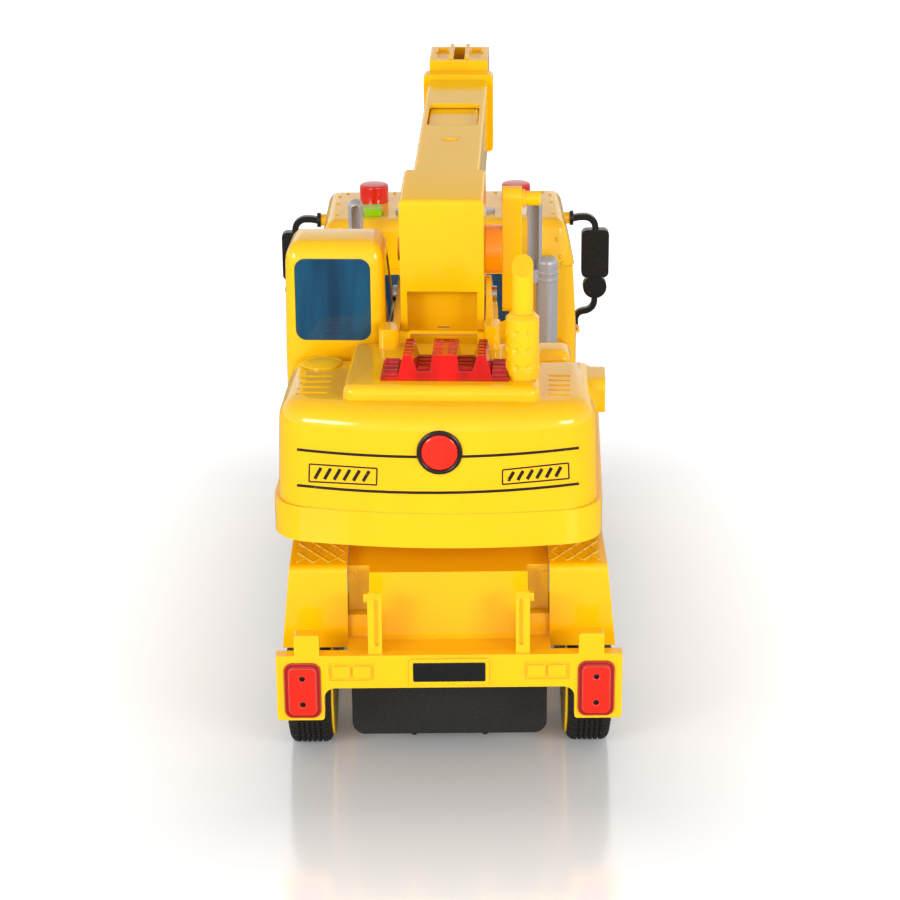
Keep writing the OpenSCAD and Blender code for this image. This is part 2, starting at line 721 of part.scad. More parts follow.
module grille() color(black) on_truck() {
    x = grille_w / 2;
    along(cab_front_y, 1.2) translate([0, floor_z + 16]) round_rect(2 * x, 22, 2);
    for (i = [-2:2]) translate([-x + 3, cab_front_y + 1.1, floor_z + 15.3 + 4 * i]) cube([2 * x - 6, 1, 1.6]);
}
module headlamps() color("#e9eef2") on_truck() both_sides()
    along(cab_front_y, 2) translate([headlamp_x, floor_z + 14]) round_rect(17, 13, 4);
module front_bumper() color(yellow) on_truck() difference() {
    z = 30;
    translate([0, truck_l - 4, z]) linear_extrude(floor_z - wall - z - 0.2) round_rect(truck_w, 8, 3);
    along(truck_l - 1.5, 3) translate([0, z + 9]) round_rect(44, 10, 2);
    both_sides() along(truck_l - 1.5, 3) translate([fog_lamp_x, z + 12]) circle(5);
}
stack_r = stack_d / 2;
stack_h = 41;
stack_dome = 2.6;
pipe_r = 3.25;
pipe_slot = 3.4;
pipe_z = 30;
band_t = 0.35;
function stack_band(z) = [
    [stack_r, z], [stack_r + band_t, z + band_t], [stack_r + band_t, z + 1.2], [stack_r, z + 1.2 + band_t]
];
module exhaust_stacks() color(grey) on_truck() both_sides()
    translate([stack_span / 2, cab_y - 12, platform_z]) exhaust_stack();
module exhaust_stack() {
    pipe_h = roof_z + 14 - platform_z - pipe_z - pipe_r;
    rotate_extrude() polygon(concat(
        [[0, 0], [stack_r, 0]], stack_band(stack_h - 10.4), stack_band(stack_h - 7.4),
        arc([stack_r - stack_dome, stack_h - stack_dome], stack_dome, 0, 80, 5), [[0, stack_h]]));
    translate([-5.4, 0, pipe_z]) difference() {
        union() {
            cylinder(r = pipe_r, h = pipe_h);
            translate([0, 0, pipe_h]) sphere(pipe_r);
        }
        translate([-pipe_slot / 2, -4, 6]) cube([pipe_slot, 4.6, pipe_h - 6.75]);
        translate([0, -4, pipe_h - 0.75]) rotate([-90, 0, 0]) cylinder(r = pipe_slot / 2, h = 4.6);
    }
}
// Mirror outlines lie in the (x, z) plane, right side.
mirror_y = cab_y + 42;
mirror_z = cab_joint_z + 11;
mirror_x = truck_w / 2 + 6.3;
mirror_foot = cab_top_x + 0.6;
mirror_boss_r = 2.6;
mirror_low_x = cab_low_x + 0.1;
module stroke(points, w) for (i = [1:len(points) - 1]) bar(points[i - 1], points[i], w);
module mirror_side() color(black) on_truck() {
    x = mirror_x;
    z = mirror_z;
    low = mirror_low_x;
    translate([0, mirror_y, z]) rod_x(3.3, mirror_foot, mirror_foot + 1.6);
    along(mirror_y - 1.5, 3) {
        stroke(concat(
            [[mirror_foot + 1.4, z], [mirror_foot + 4, z + 0.5]],
            arc([x - 5, z - 4.4], 5, 96, 0, 6), [[x, z - 7]]), 2.8);
        stroke(concat(
            [[x, z - 26]], arc([x - 5, z - 39], 5, 0, -90, 5),
            arc([low + 5.5, z - 48], 4, 90, 180, 5), [[low + 1.5, z - 52]]), 2.6);
    }
    along(mirror_y - 2.6, 5) translate([x, z - 16.4]) round_rect(mirror_w, 22.4, 2.4);
    along(mirror_y - 2.4, 4.6) translate([x, z - 32.2]) circle(5.4);
    translate([low, mirror_y - 3, z - 56]) cube([1.8, 6, 9]);
}
module right_mirror() mirror_side();
module left_mirror() mirror([1, 0, 0]) mirror_side();

// Turret

function tail_edge(x, half) = -tail_r + tail_bow * pow(x / half, 2);
// Outline of the turret: a bowed tail with round corners, straight sides and a front edge.
function turret_line(half, front, r_front) =
    let (r = 15, a = 75, xc = half - r, x1 = xc + r * cos(a), yc = tail_edge(x1, half) + r * sin(a))
    concat(
        [for (i = [-8:8]) [x1 * i / 8, tail_edge(x1 * i / 8, half)]],
        [for (p = arc([xc, yc], r, -a, 0, 7)) p],
        arc([half - r_front, front - r_front], r_front, 0, 90, 8),
        arc([-half + r_front, front - r_front], r_front, 90, 180, 8),
        [for (p = arc([-xc, yc], r, 180, 180 + a, 7)) p]);
turret_front = 46;
module turret_base() color(yellow) on_turret() {
    half = turret_w / 2;
    difference() {
        translate([0, 0, turret_z]) linear_extrude(skirt_h) polygon(turret_line(half, turret_front, 12));
        translate([0, 0, turret_z - 1]) linear_extrude(skirt_h + 1 - wall)
            offset(delta = -wall) polygon(turret_line(half, turret_front, 12));
    }
    difference() {
        union() {
            translate([0, 0, turret_z]) cylinder(r = ring_r, h = skirt_h - 1);
            translate([0, 0, washer_z + washer_t])
                cylinder(r = spindle_r, h = turret_z + 2 - washer_z - washer_t);
        }
        translate([0, 0, turret_z - 1]) difference() {
            cylinder(r = ring_r - 4, h = skirt_h - 1);
            cylinder(r = spindle_r + 3, h = skirt_h);
        }
        translate([0, 0, turret_z - 5]) cylinder(r = 1.6, h = 14);
    }
}
module slew_washer() color(steel) on_turret() translate([0, 0, washer_z]) difference() {
    cylinder(r = 14, h = washer_t);
    translate([0, 0, -1]) cylinder(r = 1.65, h = 4);
}
module slew_screw() color(steel) on_turret() translate([0, 0, washer_z]) {
    translate([0, 0, -2.4]) cylinder(r = 3.6, h = 2.4);
    translate([0, 0, -0.1]) cylinder(r = 1.58, h = 12);
}
module tail_outline(inset) offset(delta = -inset) polygon(turret_line(turret_w / 2 - 1.7, tail_front, 2));
module turret_shell() color(yellow) on_turret() difference() {
    union() {
        difference() {
            soft_block(turret_top, tail_z, 9, 0.9) tail_outline(0);
            soft_block(turret_top - 1, tail_z - wall, 7, 0.9, 4) tail_outline(wall);
        }
        podium();
        side_box();
        side_hood();
        boom_rests();
    }
    for (i = [0:4]) translate([39.2, -75 + 5.2 * i, tail_z - 1]) cube([7.6, 1.8, 4]);
    for (i = [0:3]) translate([-49.5, -75 + 6 * i, tail_z - 1]) cube([11, 2, 4]);
}
// Raised deck behind the boom.
podium_x = 1.8;
podium_w = 70;
podium_l = tail_r - 11 + tail_front;
module podium() translate([podium_x, tail_front - podium_l / 2, tail_z - wall]) difference() {
    soft_block(0, podium_z - tail_z + wall, 3, 0.5, 5) round_plan(podium_w, podium_l, 4);
    translate([0, 0, -1]) linear_extrude(podium_z - tail_z + 1) round_rect(podium_w - 4, podium_l - 6, 2);
}
// Rounded plan for a body that is rounded over.
module round_plan(w, l, r) offset(r = r, $fn = 32) square([w - 2 * r, l - 2 * r], center = true);
// Low hood ahead of the tail, on the side away from the operator.
hood_size = [28, 16];
hood_z = tail_z + 1.2;
hood_at = [tower_out + 0.6 + hood_size.x / 2, tail_front + hood_size.y / 2 - 1];
module side_hood() translate(hood_at) difference() {
    soft_block(turret_top, hood_z, 4, 0.6, 5) round_plan(hood_size.x, hood_size.y, 4);
    soft_block(turret_top - 1, hood_z - wall, 2, 0.6, 3)
        round_plan(hood_size.x - 2 * wall, hood_size.y - 2 * wall, 2);
}
module side_box() translate([turret_w / 2 - 6, tail_front - 13, tail_z - 8.8])
    across(0, 7) round_rect(20, 13, 4);
// Blocks that the boom root passes between.
rest_l = 10;
right_rest = [5.6, 14];
left_rest = [7.4, 12.5];
module boom_rests() {
    translate([tower_in + right_rest.x / 2, tail_front - 5.4, tail_z])
        linear_extrude(right_rest.y) round_rect(right_rest.x, rest_l, 2);
    translate([-tower_in - left_rest.x / 2, tail_front - 5.4, tail_z])
        linear_extrude(left_rest.y) round_rect(left_rest.x, rest_l, 2);
}

tower_l = 42;
ear_r = 7;
ear_t = 1.6;
module tower_side() {
    translate([ocab_y + 1, turret_top]) square([tower_l, tail_z + 8 - turret_top]);
    translate([pivot_y, pivot_z]) circle(ear_r);
    polygon([
        [pivot_y - 16, tail_z + 8], [pivot_y + 16, tail_z + 8],
        [pivot_y + ear_r - 0.4, pivot_z + 2], [pivot_y - ear_r + 0.4, pivot_z + 2]
    ]);
}
module boom_towers() color(yellow) on_turret() {
    panel_y = pivot_y - 14.4;
    difference() {
        union() {
            both_sides() intersection() {
                across(tower_in, tower_out - tower_in) tower_side();
                along(-truck_l, 2 * truck_l) polygon([
                    [0, turret_top], [tower_out, turret_top], [tower_out, tail_z + 4],
                    [tower_in + ear_t, pivot_z + ear_r], [0, pivot_z + ear_r]
                ]);
            }
            translate([-tower_in - 1, panel_y, turret_top]) cube([2 * tower_in + 2, 2.2, 8]);
            translate([-panel_x, panel_y, turret_top]) cube([2 * panel_x, 2.2, tail_z + 5 - turret_top]);
        }
        translate([0, pivot_y, pivot_z]) rod_x(boom_pin_d / 2 + 0.02, -40, 40);
        translate([-1.8, panel_y - 2, tail_z + 1]) cube([3.6, 6, 2]);
    }
}
// Translucent engine cover: two ribbed banks, a studded middle and low pipes at the ends.
engine_l = 19;
engine_half = 22.6;
muffler_r = 5.9;
muffler_at = [30, -69];
bank_h = 9.6;
valley_h = 3.6;
engine_skin = 1.2;
module bank_half(t) polygon([
    [0, 0], [17 - t, 0], [14.5 - t, bank_h - t], [11.7 + t * 0.5, bank_h - t], [9.7 + t, valley_h - t],
    [5 - t, valley_h - t], [4.4 - t, bank_h - t], [0, bank_h - t]
]);
module engine_block() color(red) on_turret() difference() {
    translate([podium_x + 1, -tail_r + 18, podium_z]) engine_body();
    translate([muffler_at.x, muffler_at.y, podium_z - 1]) cylinder(r = muffler_r + 0.2, h = 20);
}
module engine_body() {
    difference() {
        union() {
            both_sides() along(0, engine_l) bank_half(0);
            translate([-engine_half, 0, 0]) cube([2 * engine_half, engine_l, 1.5]);
        }
        both_sides() along(engine_skin, engine_l - 2 * engine_skin)
            translate([-slab, -slab]) bank_half(engine_skin);
        both_sides() for (i = [0:4]) translate([10.4, 1.6 + 3.5 * i, bank_h - 1.1]) cube([6, 1.5, 2]);
    }
    for (sx = [-1, 1], sy = [0:3], i = [0, 1]) translate([sx * (1.7 + 1.7 * i), 3.4 + 4 * sy, bank_h - 0.1])
        cylinder(r = 0.6, h = 0.7, $fn = 24);
    both_sides() for (i = [0:3]) translate([5, 2.6 + 4 * i, valley_h - 0.1]) cube([4.6, 1.6, 0.8]);
    both_sides() for (i = [0:3]) translate([0, 3.2 + 4.2 * i, 1.4]) difference() {
        rod_x(1.8, 16.6, engine_half - 0.8);
        translate([16, -3, -4]) cube([8, 6, 4]);
    }
}
module muffler() color(yellow) on_turret() translate([muffler_at.x, muffler_at.y, podium_z]) difference() {
    union() {
        cylinder(r = muffler_r, h = 22);
        translate([0, 0, 21.9]) cylinder(r1 = muffler_r, r2 = 4.4, h = 1.6);
        translate([0, 0, 22]) cylinder(r = 3.75, h = 22);
    }
    translate([0, 0, 40.4]) rotate([42, 0, 0]) translate([-8, -12, 0]) cube([16, 24, 12]);
    for (row = [0:2], i = [0:7])
        rotate(45 * i + 22.5) translate([muffler_r + 0.8, 0, 5 + 6.2 * row]) sphere(1.5);
}
cap_r = 7.5;
cap_rim = 0.7;
cap_dome = 1.5;
cap_ball = (pow(cap_r - 0.3, 2) + pow(cap_dome, 2)) / 2 / cap_dome;
module filler_cap() color(yellow) on_turret() translate([-43.7, tail_front - 12, tail_z]) {
    cylinder(r = cap_r, h = cap_rim);
    intersection() {
        translate([0, 0, cap_rim + cap_dome - cap_ball]) sphere(cap_ball, $fn = 96);
        cylinder(r = cap_r - 0.3, h = 2 * cap_dome);
    }
}
// Plan of the operator cab at one height, measured forward from its rear wall.
module ocab_plan(inset, length) translate([(ocab_left + ocab_right) / 2, ocab_y + length / 2])
    offset(r = 5, $fn = 32) square([ocab_w - 10 - 2 * inset, length - 10 - 2 * inset], center = true);
module ocab_form(inset) hull() {
    top = ocab_z - inset;
    r = 8 - inset / 2;
    translate([0, 0, inset > 0 ? turret_top - 1 : turret_top]) linear_extrude(slab) ocab_plan(inset, ocab_l);
    translate([0, 0, tail_z]) linear_extrude(slab) ocab_plan(inset, ocab_l);
    for (i = [0:4]) translate([0, 0, top - r + r * sin(22.5 * i) - slab]) linear_extrude(slab)
        offset(delta = -0.6 - 0.7 * r * (1 - cos(22.5 * i))) ocab_plan(inset, ocab_roof_l);
}
ocab_mid_x = (ocab_left + ocab_right) / 2 - 0.6;
ocab_win = [27.9, 31];
ocab_win_z = tail_z + 5;
// Side window: upright at the back, raked with the windscreen in front.
module ocab_side_line() polygon([
    [ocab_y + 7, ocab_win_z], [ocab_y + ocab_l - 11, ocab_win_z],
    [ocab_y + ocab_roof_l - 5, ocab_win_z + ocab_win.y - 3], [ocab_y + 7, ocab_win_z + ocab_win.y - 3]
]);
module ocab_windows(grow) {
    mid = ocab_win_z + ocab_win.y / 2;
    for (y = [ocab_y - 4, ocab_y + 24]) along(y, y < ocab_y ? 12 : 40) translate([ocab_mid_x, mid])
        round_rect(ocab_win.x + 2 * grow, ocab_win.y + 2 * grow, 4 + grow);
    for (x = [ocab_left - 4, ocab_right - 6]) across(x, 10) offset(delta = grow) ocab_side_line();
}
module operator_cab() color(yellow) on_turret() difference() {
    ocab_form(0);
    ocab_form(wall);
    ocab_windows(0);
}
module operator_glass() color(blue) on_turret() {
    intersection() {
        difference() {
            ocab_form(wall + 0.05);
            ocab_form(wall + glass_t);
        }
        ocab_windows(glass_lip);
    }
    intersection() {
        difference() {
            ocab_form(glass_sunk);
            ocab_form(wall + glass_t / 2);
        }
        ocab_windows(-0.08);
    }
}
module operator_seat() color(black) on_turret() translate([ocab_mid_x, ocab_y + 20, turret_top]) {
    along(0, 5) translate([0, 32]) round_rect(18, 64, 3);
    along(4.9, 15) translate([0, 19]) round_rect(18, 38, 3);
}
module boom_pin() color(steel) on_turret() translate([0, pivot_y, pivot_z])
    rod_x(boom_pin_d / 2, -tower_out - 0.1, tower_out + 0.1);

// Boom

module arm_section(grow, r) translate([0, ext_mid_z]) round_rect(arm_w + 2 * grow, arm_h + 2 * grow, r);
module boom_shell() color(yellow) on_boom() difference() {
    union() {
        difference() {
            root_body();
            root_hollow();
        }
        across(-root_w / 2, root_w) translate([root_y + root_l - wall, -5]) square([wall, arm_low + 6]);
        across(-root_w / 2 + 1, root_w - 2) translate([-12, -10]) square([2, arm_low + 10]);
        along(root_y + root_l - wall, arm_l - root_y - root_l + wall) arm_section(0, 1.5);
        translate([0, 62, arm_top - 0.3]) linear_extrude(0.9) crescent();
    }
    along(root_y + wall, arm_l - root_y) arm_section(-arm_wall, 1);
    translate([0, 91, arm_top - 4]) linear_extrude(8) round_rect(ext_w, 28, 2);
    rod_x(boom_pin_d / 2 + pin_gap, -40, 40);
    translate([0, winch_y, winch_z]) rod_x(3 + pin_gap, -40, 40);
    translate([-2.2, -14, -9]) cube([4.4, 6, 1.2]);
}
module crescent() difference() {
    circle(3.4);
    translate([0, 2]) circle(3.6);
}
module root_body() {
    intersection() {
        across(-root_w / 2, root_w) root_line();
        along(root_y - 1, root_l + 2) union() {
            translate([0, root_top / 2 - 8]) round_rect(root_w, root_top + 16, 1.7);
            translate([-root_w / 2, -20]) square([root_w, 40]);
        }
    }
}
module root_line() {
    r = 2;
    front = root_y + root_l;
    polygon(concat(
        [[front, root_top], [front, -5], [0, -8], [root_y + 9, -10.5], [root_y + 1, -6], [root_y, 2]],
        arc([root_y + r, root_top - r], r, 180, 90, 5)));
    circle(9);
}
module root_hollow() {
    half = root_w / 2 - wall;
    translate([-half, root_y + wall, -20]) cube([2 * half, root_l - 2 * wall, root_top + 20 - wall]);
    translate([-half, root_y - 2, -20]) cube([2 * half, 12, 18 + arm_low]);
}
module boom_collar() color(yellow) on_boom() difference() {
    along(arm_l, collar_l) arm_section(2.1, 1.8);
    along(arm_l - 1, collar_l + 2) arm_section(-arm_wall, 1);
}
module winch_drum() color("#f0a818") on_boom() translate([0, winch_y, winch_z]) {
    half = root_w / 2 - wall - 0.4;
    rod_x(3, -root_w / 2 - 0.5, root_w / 2 + 0.1);
    rod_x(4.6, -half, half);
    both_sides() rod_x(7, half - 1.6, half);
    rod_x(hub_d / 2, root_w / 2 + 0.1, crank_x);
    translate([-root_w / 2 - 2.1, 0, 0]) rod_x(4.4, 0, 1.8);
}
crank_x = max(tower_out, 21.2) + 0.4;
crank_t = 7.2;
module crank() color(yellow) on_boom() translate([0, winch_y, winch_z]) rotate([-boom_rest, 0, 0]) {
    h = crank_l / 2 - 4;
    across(crank_x, crank_t) bar([0, -h], [0, h], 8);
    translate([0, 0, h - 0.5]) {
        rod_x(2.7, crank_x + crank_t - 0.1, crank_x + crank_t + 7);
        rod_x(3.3, crank_x + crank_t - 0.1, crank_x + crank_t + 1.2);
    }
}
module boom_extension() color(yellow) on_boom() difference() {
    along(head_y - ext_l, ext_l) translate([0, ext_mid_z]) round_rect(ext_w, ext_h, 0.9);
    along(head_y - ext_l - 1, ext_l + 2) translate([0, ext_mid_z])
        round_rect(ext_w - 2 * ext_wall, ext_h - 2 * ext_wall, 0.5);
}
module boom_head() color(yellow) on_boom() difference() {
    union() {
        across(-arm_w / 2 + 0.2, arm_w - 0.4) head_line();
        both_sides() translate([slot_w / 2 + 0.3, head_y + 3, head_top - 0.1]) cube([1.4, head_l - 6, 1.3]);
    }
    translate([-slot_w / 2, head_y + 1.8, arm_low - 20]) cube([slot_w, head_l - 4.6, arm_h + 40]);
    translate([-slot_w / 2, head_y + 1.8, arm_low - 20]) cube([slot_w, head_l, 20 + sheave_z - arm_low]);
    both_sides() translate([slot_w / 2 + 2.8, head_y + 4, head_top - 1.4]) {
        cube([4, head_l - 9, 3]);
        translate([-0.9, 5, 0]) cube([5.8, 5, 3]);
    }
    for (p = [[sheave_y, sheave_z], [hook_y, hook_z]]) translate([0, p.x, p.y]) rod_x(1.5, -arm_w, arm_w);
}
module head_line() {
    low = hook_z - 5;
    polygon(concat(
        [[head_y, head_top], [head_y, low]], arc([head_y + head_l - 6, low + 4], 4, -90, 0, 5),
        arc([head_y + head_l - 4, head_top - 4], 4, 0, 90, 5)));
}
module head_pulley() color(black) on_boom() translate([0, sheave_y, sheave_z]) {
    rotate([0, 90, 0]) rotate_extrude() polygon([
        [0, -blade_t / 2], [sheave_r, -blade_t / 2], [sheave_r - 2, 0], [sheave_r, blade_t / 2],
        [0, blade_t / 2]]);
    rod_x(1.44, -arm_w / 2 + 1, arm_w / 2 - 1);
}
module on_hook() on_boom() translate([0, hook_y, hook_z]) rotate([-boom_rest, 0, 0]) children();
hook_r = 6.4;
hook_web = 3;
hook_drop = 14;
module hook() color(grey) on_hook() {
    across(-blade_t / 2, blade_t) difference() {
        union() {
            circle(4);
            translate([-2.4, -hook_drop + hook_r - 1.5]) square([4.8, hook_drop - hook_r]);
            translate([0, -hook_drop]) circle(hook_r);
        }
        translate([0, -hook_drop]) circle(hook_r - hook_web);
        translate([0, -hook_drop]) square([hook_r + 1, hook_r - 1.6]);
    }
    rod_x(1.44, -arm_w / 2 + 1, arm_w / 2 - 1);
}

chassis_shell();
base_pan();
rear_bumper();
tail_lamps();
number_plate();
slew_ring();
rear_platform();
side_lockers();
battery_door();
battery_cells();
pan_screws();
speaker();
motor_frame();
rear_axle();
drive_gear();
rear_hubs();
rear_tyres();
mid_axle();
mid_hubs();
mid_tyres();
front_axle();
front_hubs();
front_tyres();
idler_gear();
flywheel();
cab_body();
cab_roof();
cab_glass();
cab_seat();
grille();
headlamps();
front_bumper();
beacons();
roof_strip();
green_button();
white_button();
circuit_board();
exhaust_stacks();
left_mirror();
right_mirror();
turret_base();
turret_shell();
slew_washer();
slew_screw();
boom_towers();
engine_block();
muffler();
filler_cap();
operator_cab();
operator_glass();
operator_seat();
boom_pin();
boom_shell();
boom_collar();
winch_drum();
crank();
boom_extension();
boom_head();
head_pulley();
hook();
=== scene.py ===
# %% [markdown]
# # A toy truck crane
# The real object is a hand-pushed toy: glossy yellow mouldings over a black pan, with see-through
# red and blue parts, black wheels and a crane that turns, lifts and draws out. The solid pieces come
# packed from CAD in metres, in one frame, so nothing here is fitted by eye: this script gives every
# piece its finish, rounds the edges that a mould rounds, and adds the fine relief and print.

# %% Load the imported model
import math

import bmesh
import bpy
from mathutils import Matrix, Vector
from mathutils.bvhtree import BVHTree


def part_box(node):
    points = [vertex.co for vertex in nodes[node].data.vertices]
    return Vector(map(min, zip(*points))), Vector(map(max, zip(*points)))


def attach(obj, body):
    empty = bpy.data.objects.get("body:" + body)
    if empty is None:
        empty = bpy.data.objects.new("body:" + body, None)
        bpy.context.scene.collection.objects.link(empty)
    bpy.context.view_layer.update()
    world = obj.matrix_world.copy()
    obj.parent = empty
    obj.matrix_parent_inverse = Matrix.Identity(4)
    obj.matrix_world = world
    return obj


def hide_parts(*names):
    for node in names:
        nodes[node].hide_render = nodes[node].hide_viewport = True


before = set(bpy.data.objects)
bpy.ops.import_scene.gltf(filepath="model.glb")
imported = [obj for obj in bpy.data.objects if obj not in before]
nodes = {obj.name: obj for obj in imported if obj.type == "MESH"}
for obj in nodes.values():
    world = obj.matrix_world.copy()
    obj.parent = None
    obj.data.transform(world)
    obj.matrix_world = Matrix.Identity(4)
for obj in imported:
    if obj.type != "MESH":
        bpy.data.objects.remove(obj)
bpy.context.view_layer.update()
MM = 0.001

# %% [markdown]
# ## The camera
# The photograph looks at the back of the truck from a little above, with a long lens. The lens and
# place below were worked out from the bumper's width, the wheels' contact points and the roof. The
# same numbers give the line of sight through any pixel, which later puts the print on the tail.

# %% Camera
PICTURE = 900
CAMERA_PLACE = Vector((0.0, -0.936, 0.426))
CAMERA_DOWN = 20.4
CAMERA_ROLL = -0.5


def new_object(name, data):
    obj = bpy.data.objects.new(name, data)
    bpy.context.scene.collection.objects.link(obj)
    return obj


camera_pose = (
    Matrix.Translation(CAMERA_PLACE)
    @ Matrix.Rotation(math.radians(90 - CAMERA_DOWN), 4, "X")
    @ Matrix.Rotation(math.radians(CAMERA_ROLL), 4, "Z")
)
lens = bpy.data.cameras.new("camera")
lens.lens = 96.0
lens.sensor_width = 36.0
lens.shift_x = 0.003
camera = new_object("camera", lens)
camera.matrix_world = camera_pose
bpy.context.scene.camera = camera


def sight(u, v):
    across = (u / PICTURE - 0.5 + lens.shift_x) * lens.sensor_width / lens.lens
    up = (0.5 - v / PICTURE) * lens.sensor_width / lens.lens
    return (camera_pose.to_3x3() @ Vector((across, up, -1))).normalized()


centre_line = sight(PICTURE / 2, PICTURE / 2)
print("camera lens", lens.lens, "mm, centre line", [round(x, 3) for x in centre_line])

# %% [markdown]
# ## Three small helpers for every material
# Colours are written as sRGB hex, as a designer would note them, and one function turns them to the
# linear values that shaders use. The second adds a node with its settings and links in one call. The
# third starts a material and hands back its tree, its output and the piece's own coordinates.


# %% Material helpers
def linear(hex_colour):
    parts = [int(hex_colour[i : i + 2], 16) / 255 for i in (1, 3, 5)]
    return tuple(c / 12.92 if c <= 0.04045 else ((c + 0.055) / 1.055) ** 2.4 for c in parts) + (1.0,)


def add(tree, kind, settings=None, inputs=None):
    node = tree.nodes.new(kind)
    for key, value in (settings or {}).items():
        setattr(node, key, value)
    for key, value in (inputs or {}).items():
        if isinstance(value, bpy.types.NodeSocket):
            tree.links.new(value, node.inputs[key])
        else:
            node.inputs[key].default_value = value
    return node


def new_material(name):
    material = bpy.data.materials.new(name)
    material.use_nodes = True
    tree = material.node_tree
    tree.nodes.clear()
    out = add(tree, "ShaderNodeOutputMaterial")
    place = add(tree, "ShaderNodeTexCoord").outputs["Object"]
    return material, tree, out, place


print("helpers ready")

# %% [markdown]
# ## Edges that catch the light
# No moulding has a knife edge: the tool that cuts the mould is round and the melt won't fill a sharp
# corner. Bevelling sixty meshes would cost many faces and can tear thin walls, so the materials do it:
# the Bevel node blends the normals across each edge, and where its normal leaves the face's own, the
# edge mask brightens the colour, a painted highlight along every edge. The mask runs between two
# cosines of the angle between the two normals.


# %% Rounded edges in the shader
EDGE_MM = 0.55
EDGE_STARTS, EDGE_FULL = 0.985, 0.86


def edge_nodes(tree, radius_mm=EDGE_MM):
    soft = add(tree, "ShaderNodeBevel", {"samples": 4}, {"Radius": radius_mm * MM}).outputs["Normal"]
    face = add(tree, "ShaderNodeNewGeometry").outputs["Normal"]
    dot = add(tree, "ShaderNodeVectorMath", {"operation": "DOT_PRODUCT"}, {0: soft, 1: face})
    turn = {"Value": dot.outputs["Value"], 1: EDGE_STARTS, 2: EDGE_FULL}
    return soft, add(tree, "ShaderNodeMapRange", inputs=turn).outputs[0]


print("edge radius", EDGE_MM, "mm")

# %% [markdown]
# ## Glossy ABS
# The yellow shells are injection-moulded ABS from a polished mould. To the eye that is a deep gloss,
# a faint unevenness where the melt flowed, and a very slight ripple in the reflections. Three noises at
# three real sizes do that; the edges are a little paler, a painted highlight.


# %% Glossy moulded plastic
ABS_IOR = 1.54
FLOW_MM, FLOW_FROM, FLOW_TO = 34.0, 0.35, 0.75
HANDLING_MM, HANDLED_FROM, HANDLED_TO = 1.6, 0.3, 0.8
SMOOTHER, ROUGHER = 0.03, 0.06
EDGE_HIGHLIGHT_SHARE = 0.45
RIPPLE_MM, RIPPLE_DEEP_MM, RIPPLE_STRENGTH = 6.0, 0.2, 0.04
GLOW_MM, GLOW_RGB = 2.5, (1.0, 0.5, 0.1)


def glossy_moulding(name, colour, flow_colour, edge_highlight_colour, roughness=0.11, glow=0.0):
    material, tree, out, place = new_material(name)
    soft, mask = edge_nodes(tree)

    melt = {"Vector": place, "Scale": 1 / (FLOW_MM * MM), "Detail": 2.0}
    flow = add(tree, "ShaderNodeTexNoise", inputs=melt).outputs["Fac"]
    patches = {"Value": flow, 1: FLOW_FROM, 2: FLOW_TO}
    blend = add(tree, "ShaderNodeMapRange", inputs=patches).outputs[0]
    tones = {"Factor": blend, 6: linear(colour), 7: linear(flow_colour)}
    body = add(tree, "ShaderNodeMix", {"data_type": "RGBA"}, tones).outputs[2]
    # The edge mask blends in the paler edge colour: a painted highlight on every edge.
    painted_highlight = add(tree, "ShaderNodeMath", {"operation": "MULTIPLY"}, {0: mask, 1: EDGE_HIGHLIGHT_SHARE}).outputs[0]
    tones = {"Factor": painted_highlight, 6: body, 7: linear(edge_highlight_colour)}
    tint = add(tree, "ShaderNodeMix", {"data_type": "RGBA"}, tones).outputs[2]

    hands = {"Vector": place, "Scale": 1 / (HANDLING_MM * MM), "Detail": 3.0}
    touch = add(tree, "ShaderNodeTexNoise", inputs=hands).outputs["Fac"]
    gloss = {"Value": touch, 1: HANDLED_FROM, 2: HANDLED_TO}
    gloss.update({3: roughness - SMOOTHER, 4: roughness + ROUGHER})
    rough = add(tree, "ShaderNodeMapRange", inputs=gloss).outputs[0]

    waves = {"Vector": place, "Scale": 1 / (RIPPLE_MM * MM), "Detail": 1.0}
    ripple = add(tree, "ShaderNodeTexNoise", inputs=waves).outputs["Fac"]
    relief = {"Strength": RIPPLE_STRENGTH, "Distance": RIPPLE_DEEP_MM * MM}
    bump = add(tree, "ShaderNodeBump", inputs={"Height": ripple, "Normal": soft, **relief}).outputs[0]

    skin_values = {"Base Color": tint, "Roughness": rough, "IOR": ABS_IOR, "Normal": bump}
    inside = {"Subsurface Weight": glow, "Subsurface Scale": GLOW_MM * MM, "Subsurface Radius": GLOW_RGB}
    shader = add(tree, "ShaderNodeBsdfPrincipled", inputs={**skin_values, **inside})
    tree.links.new(shader.outputs[0], out.inputs[0])
    return material


# The third colour of each plastic is its painted edge highlight.
yellow_abs = glossy_moulding("yellow_abs_polished", "#FBC20A", "#F9BB07", "#FFD64A", glow=0.3)
amber_abs = glossy_moulding("amber_abs_polished", "#FF9A06", "#FA9004", "#FFB23A", glow=0.3)
lime_abs = glossy_moulding("lime_abs_button", "#8FCB06", "#84C004", "#A8E03A", roughness=0.24)
white_abs = glossy_moulding("white_abs_button", "#DAD9D2", "#D0CFC8", "#EDECE6", roughness=0.24)
black_abs = glossy_moulding("black_abs_satin", "#0F0E0E", "#131212", "#242221", roughness=0.26)
print("glossy plastics made")

# %% [markdown]
# ## Grained black plastic
# The pan is polypropylene from a spark-eroded mould: matt, with a fine sandy grain and pale specks
# where grains catch the light. The grain is about 0.4 mm; it is drawn at 0.9 mm so that it shows. The
# same recipe serves for the tyres, the seats, the nylon gears, the board and the cells.


# %% Grained plastic
PP_IOR = 1.49
GRAIN_MM, GRAIN_DEEP_MM = 0.9, 0.3
SPECK_FROM, SPECK_TO = 0.52, 0.72
GRAIN_SMOOTHER, GRAIN_ROUGHER = 0.1, 0.12


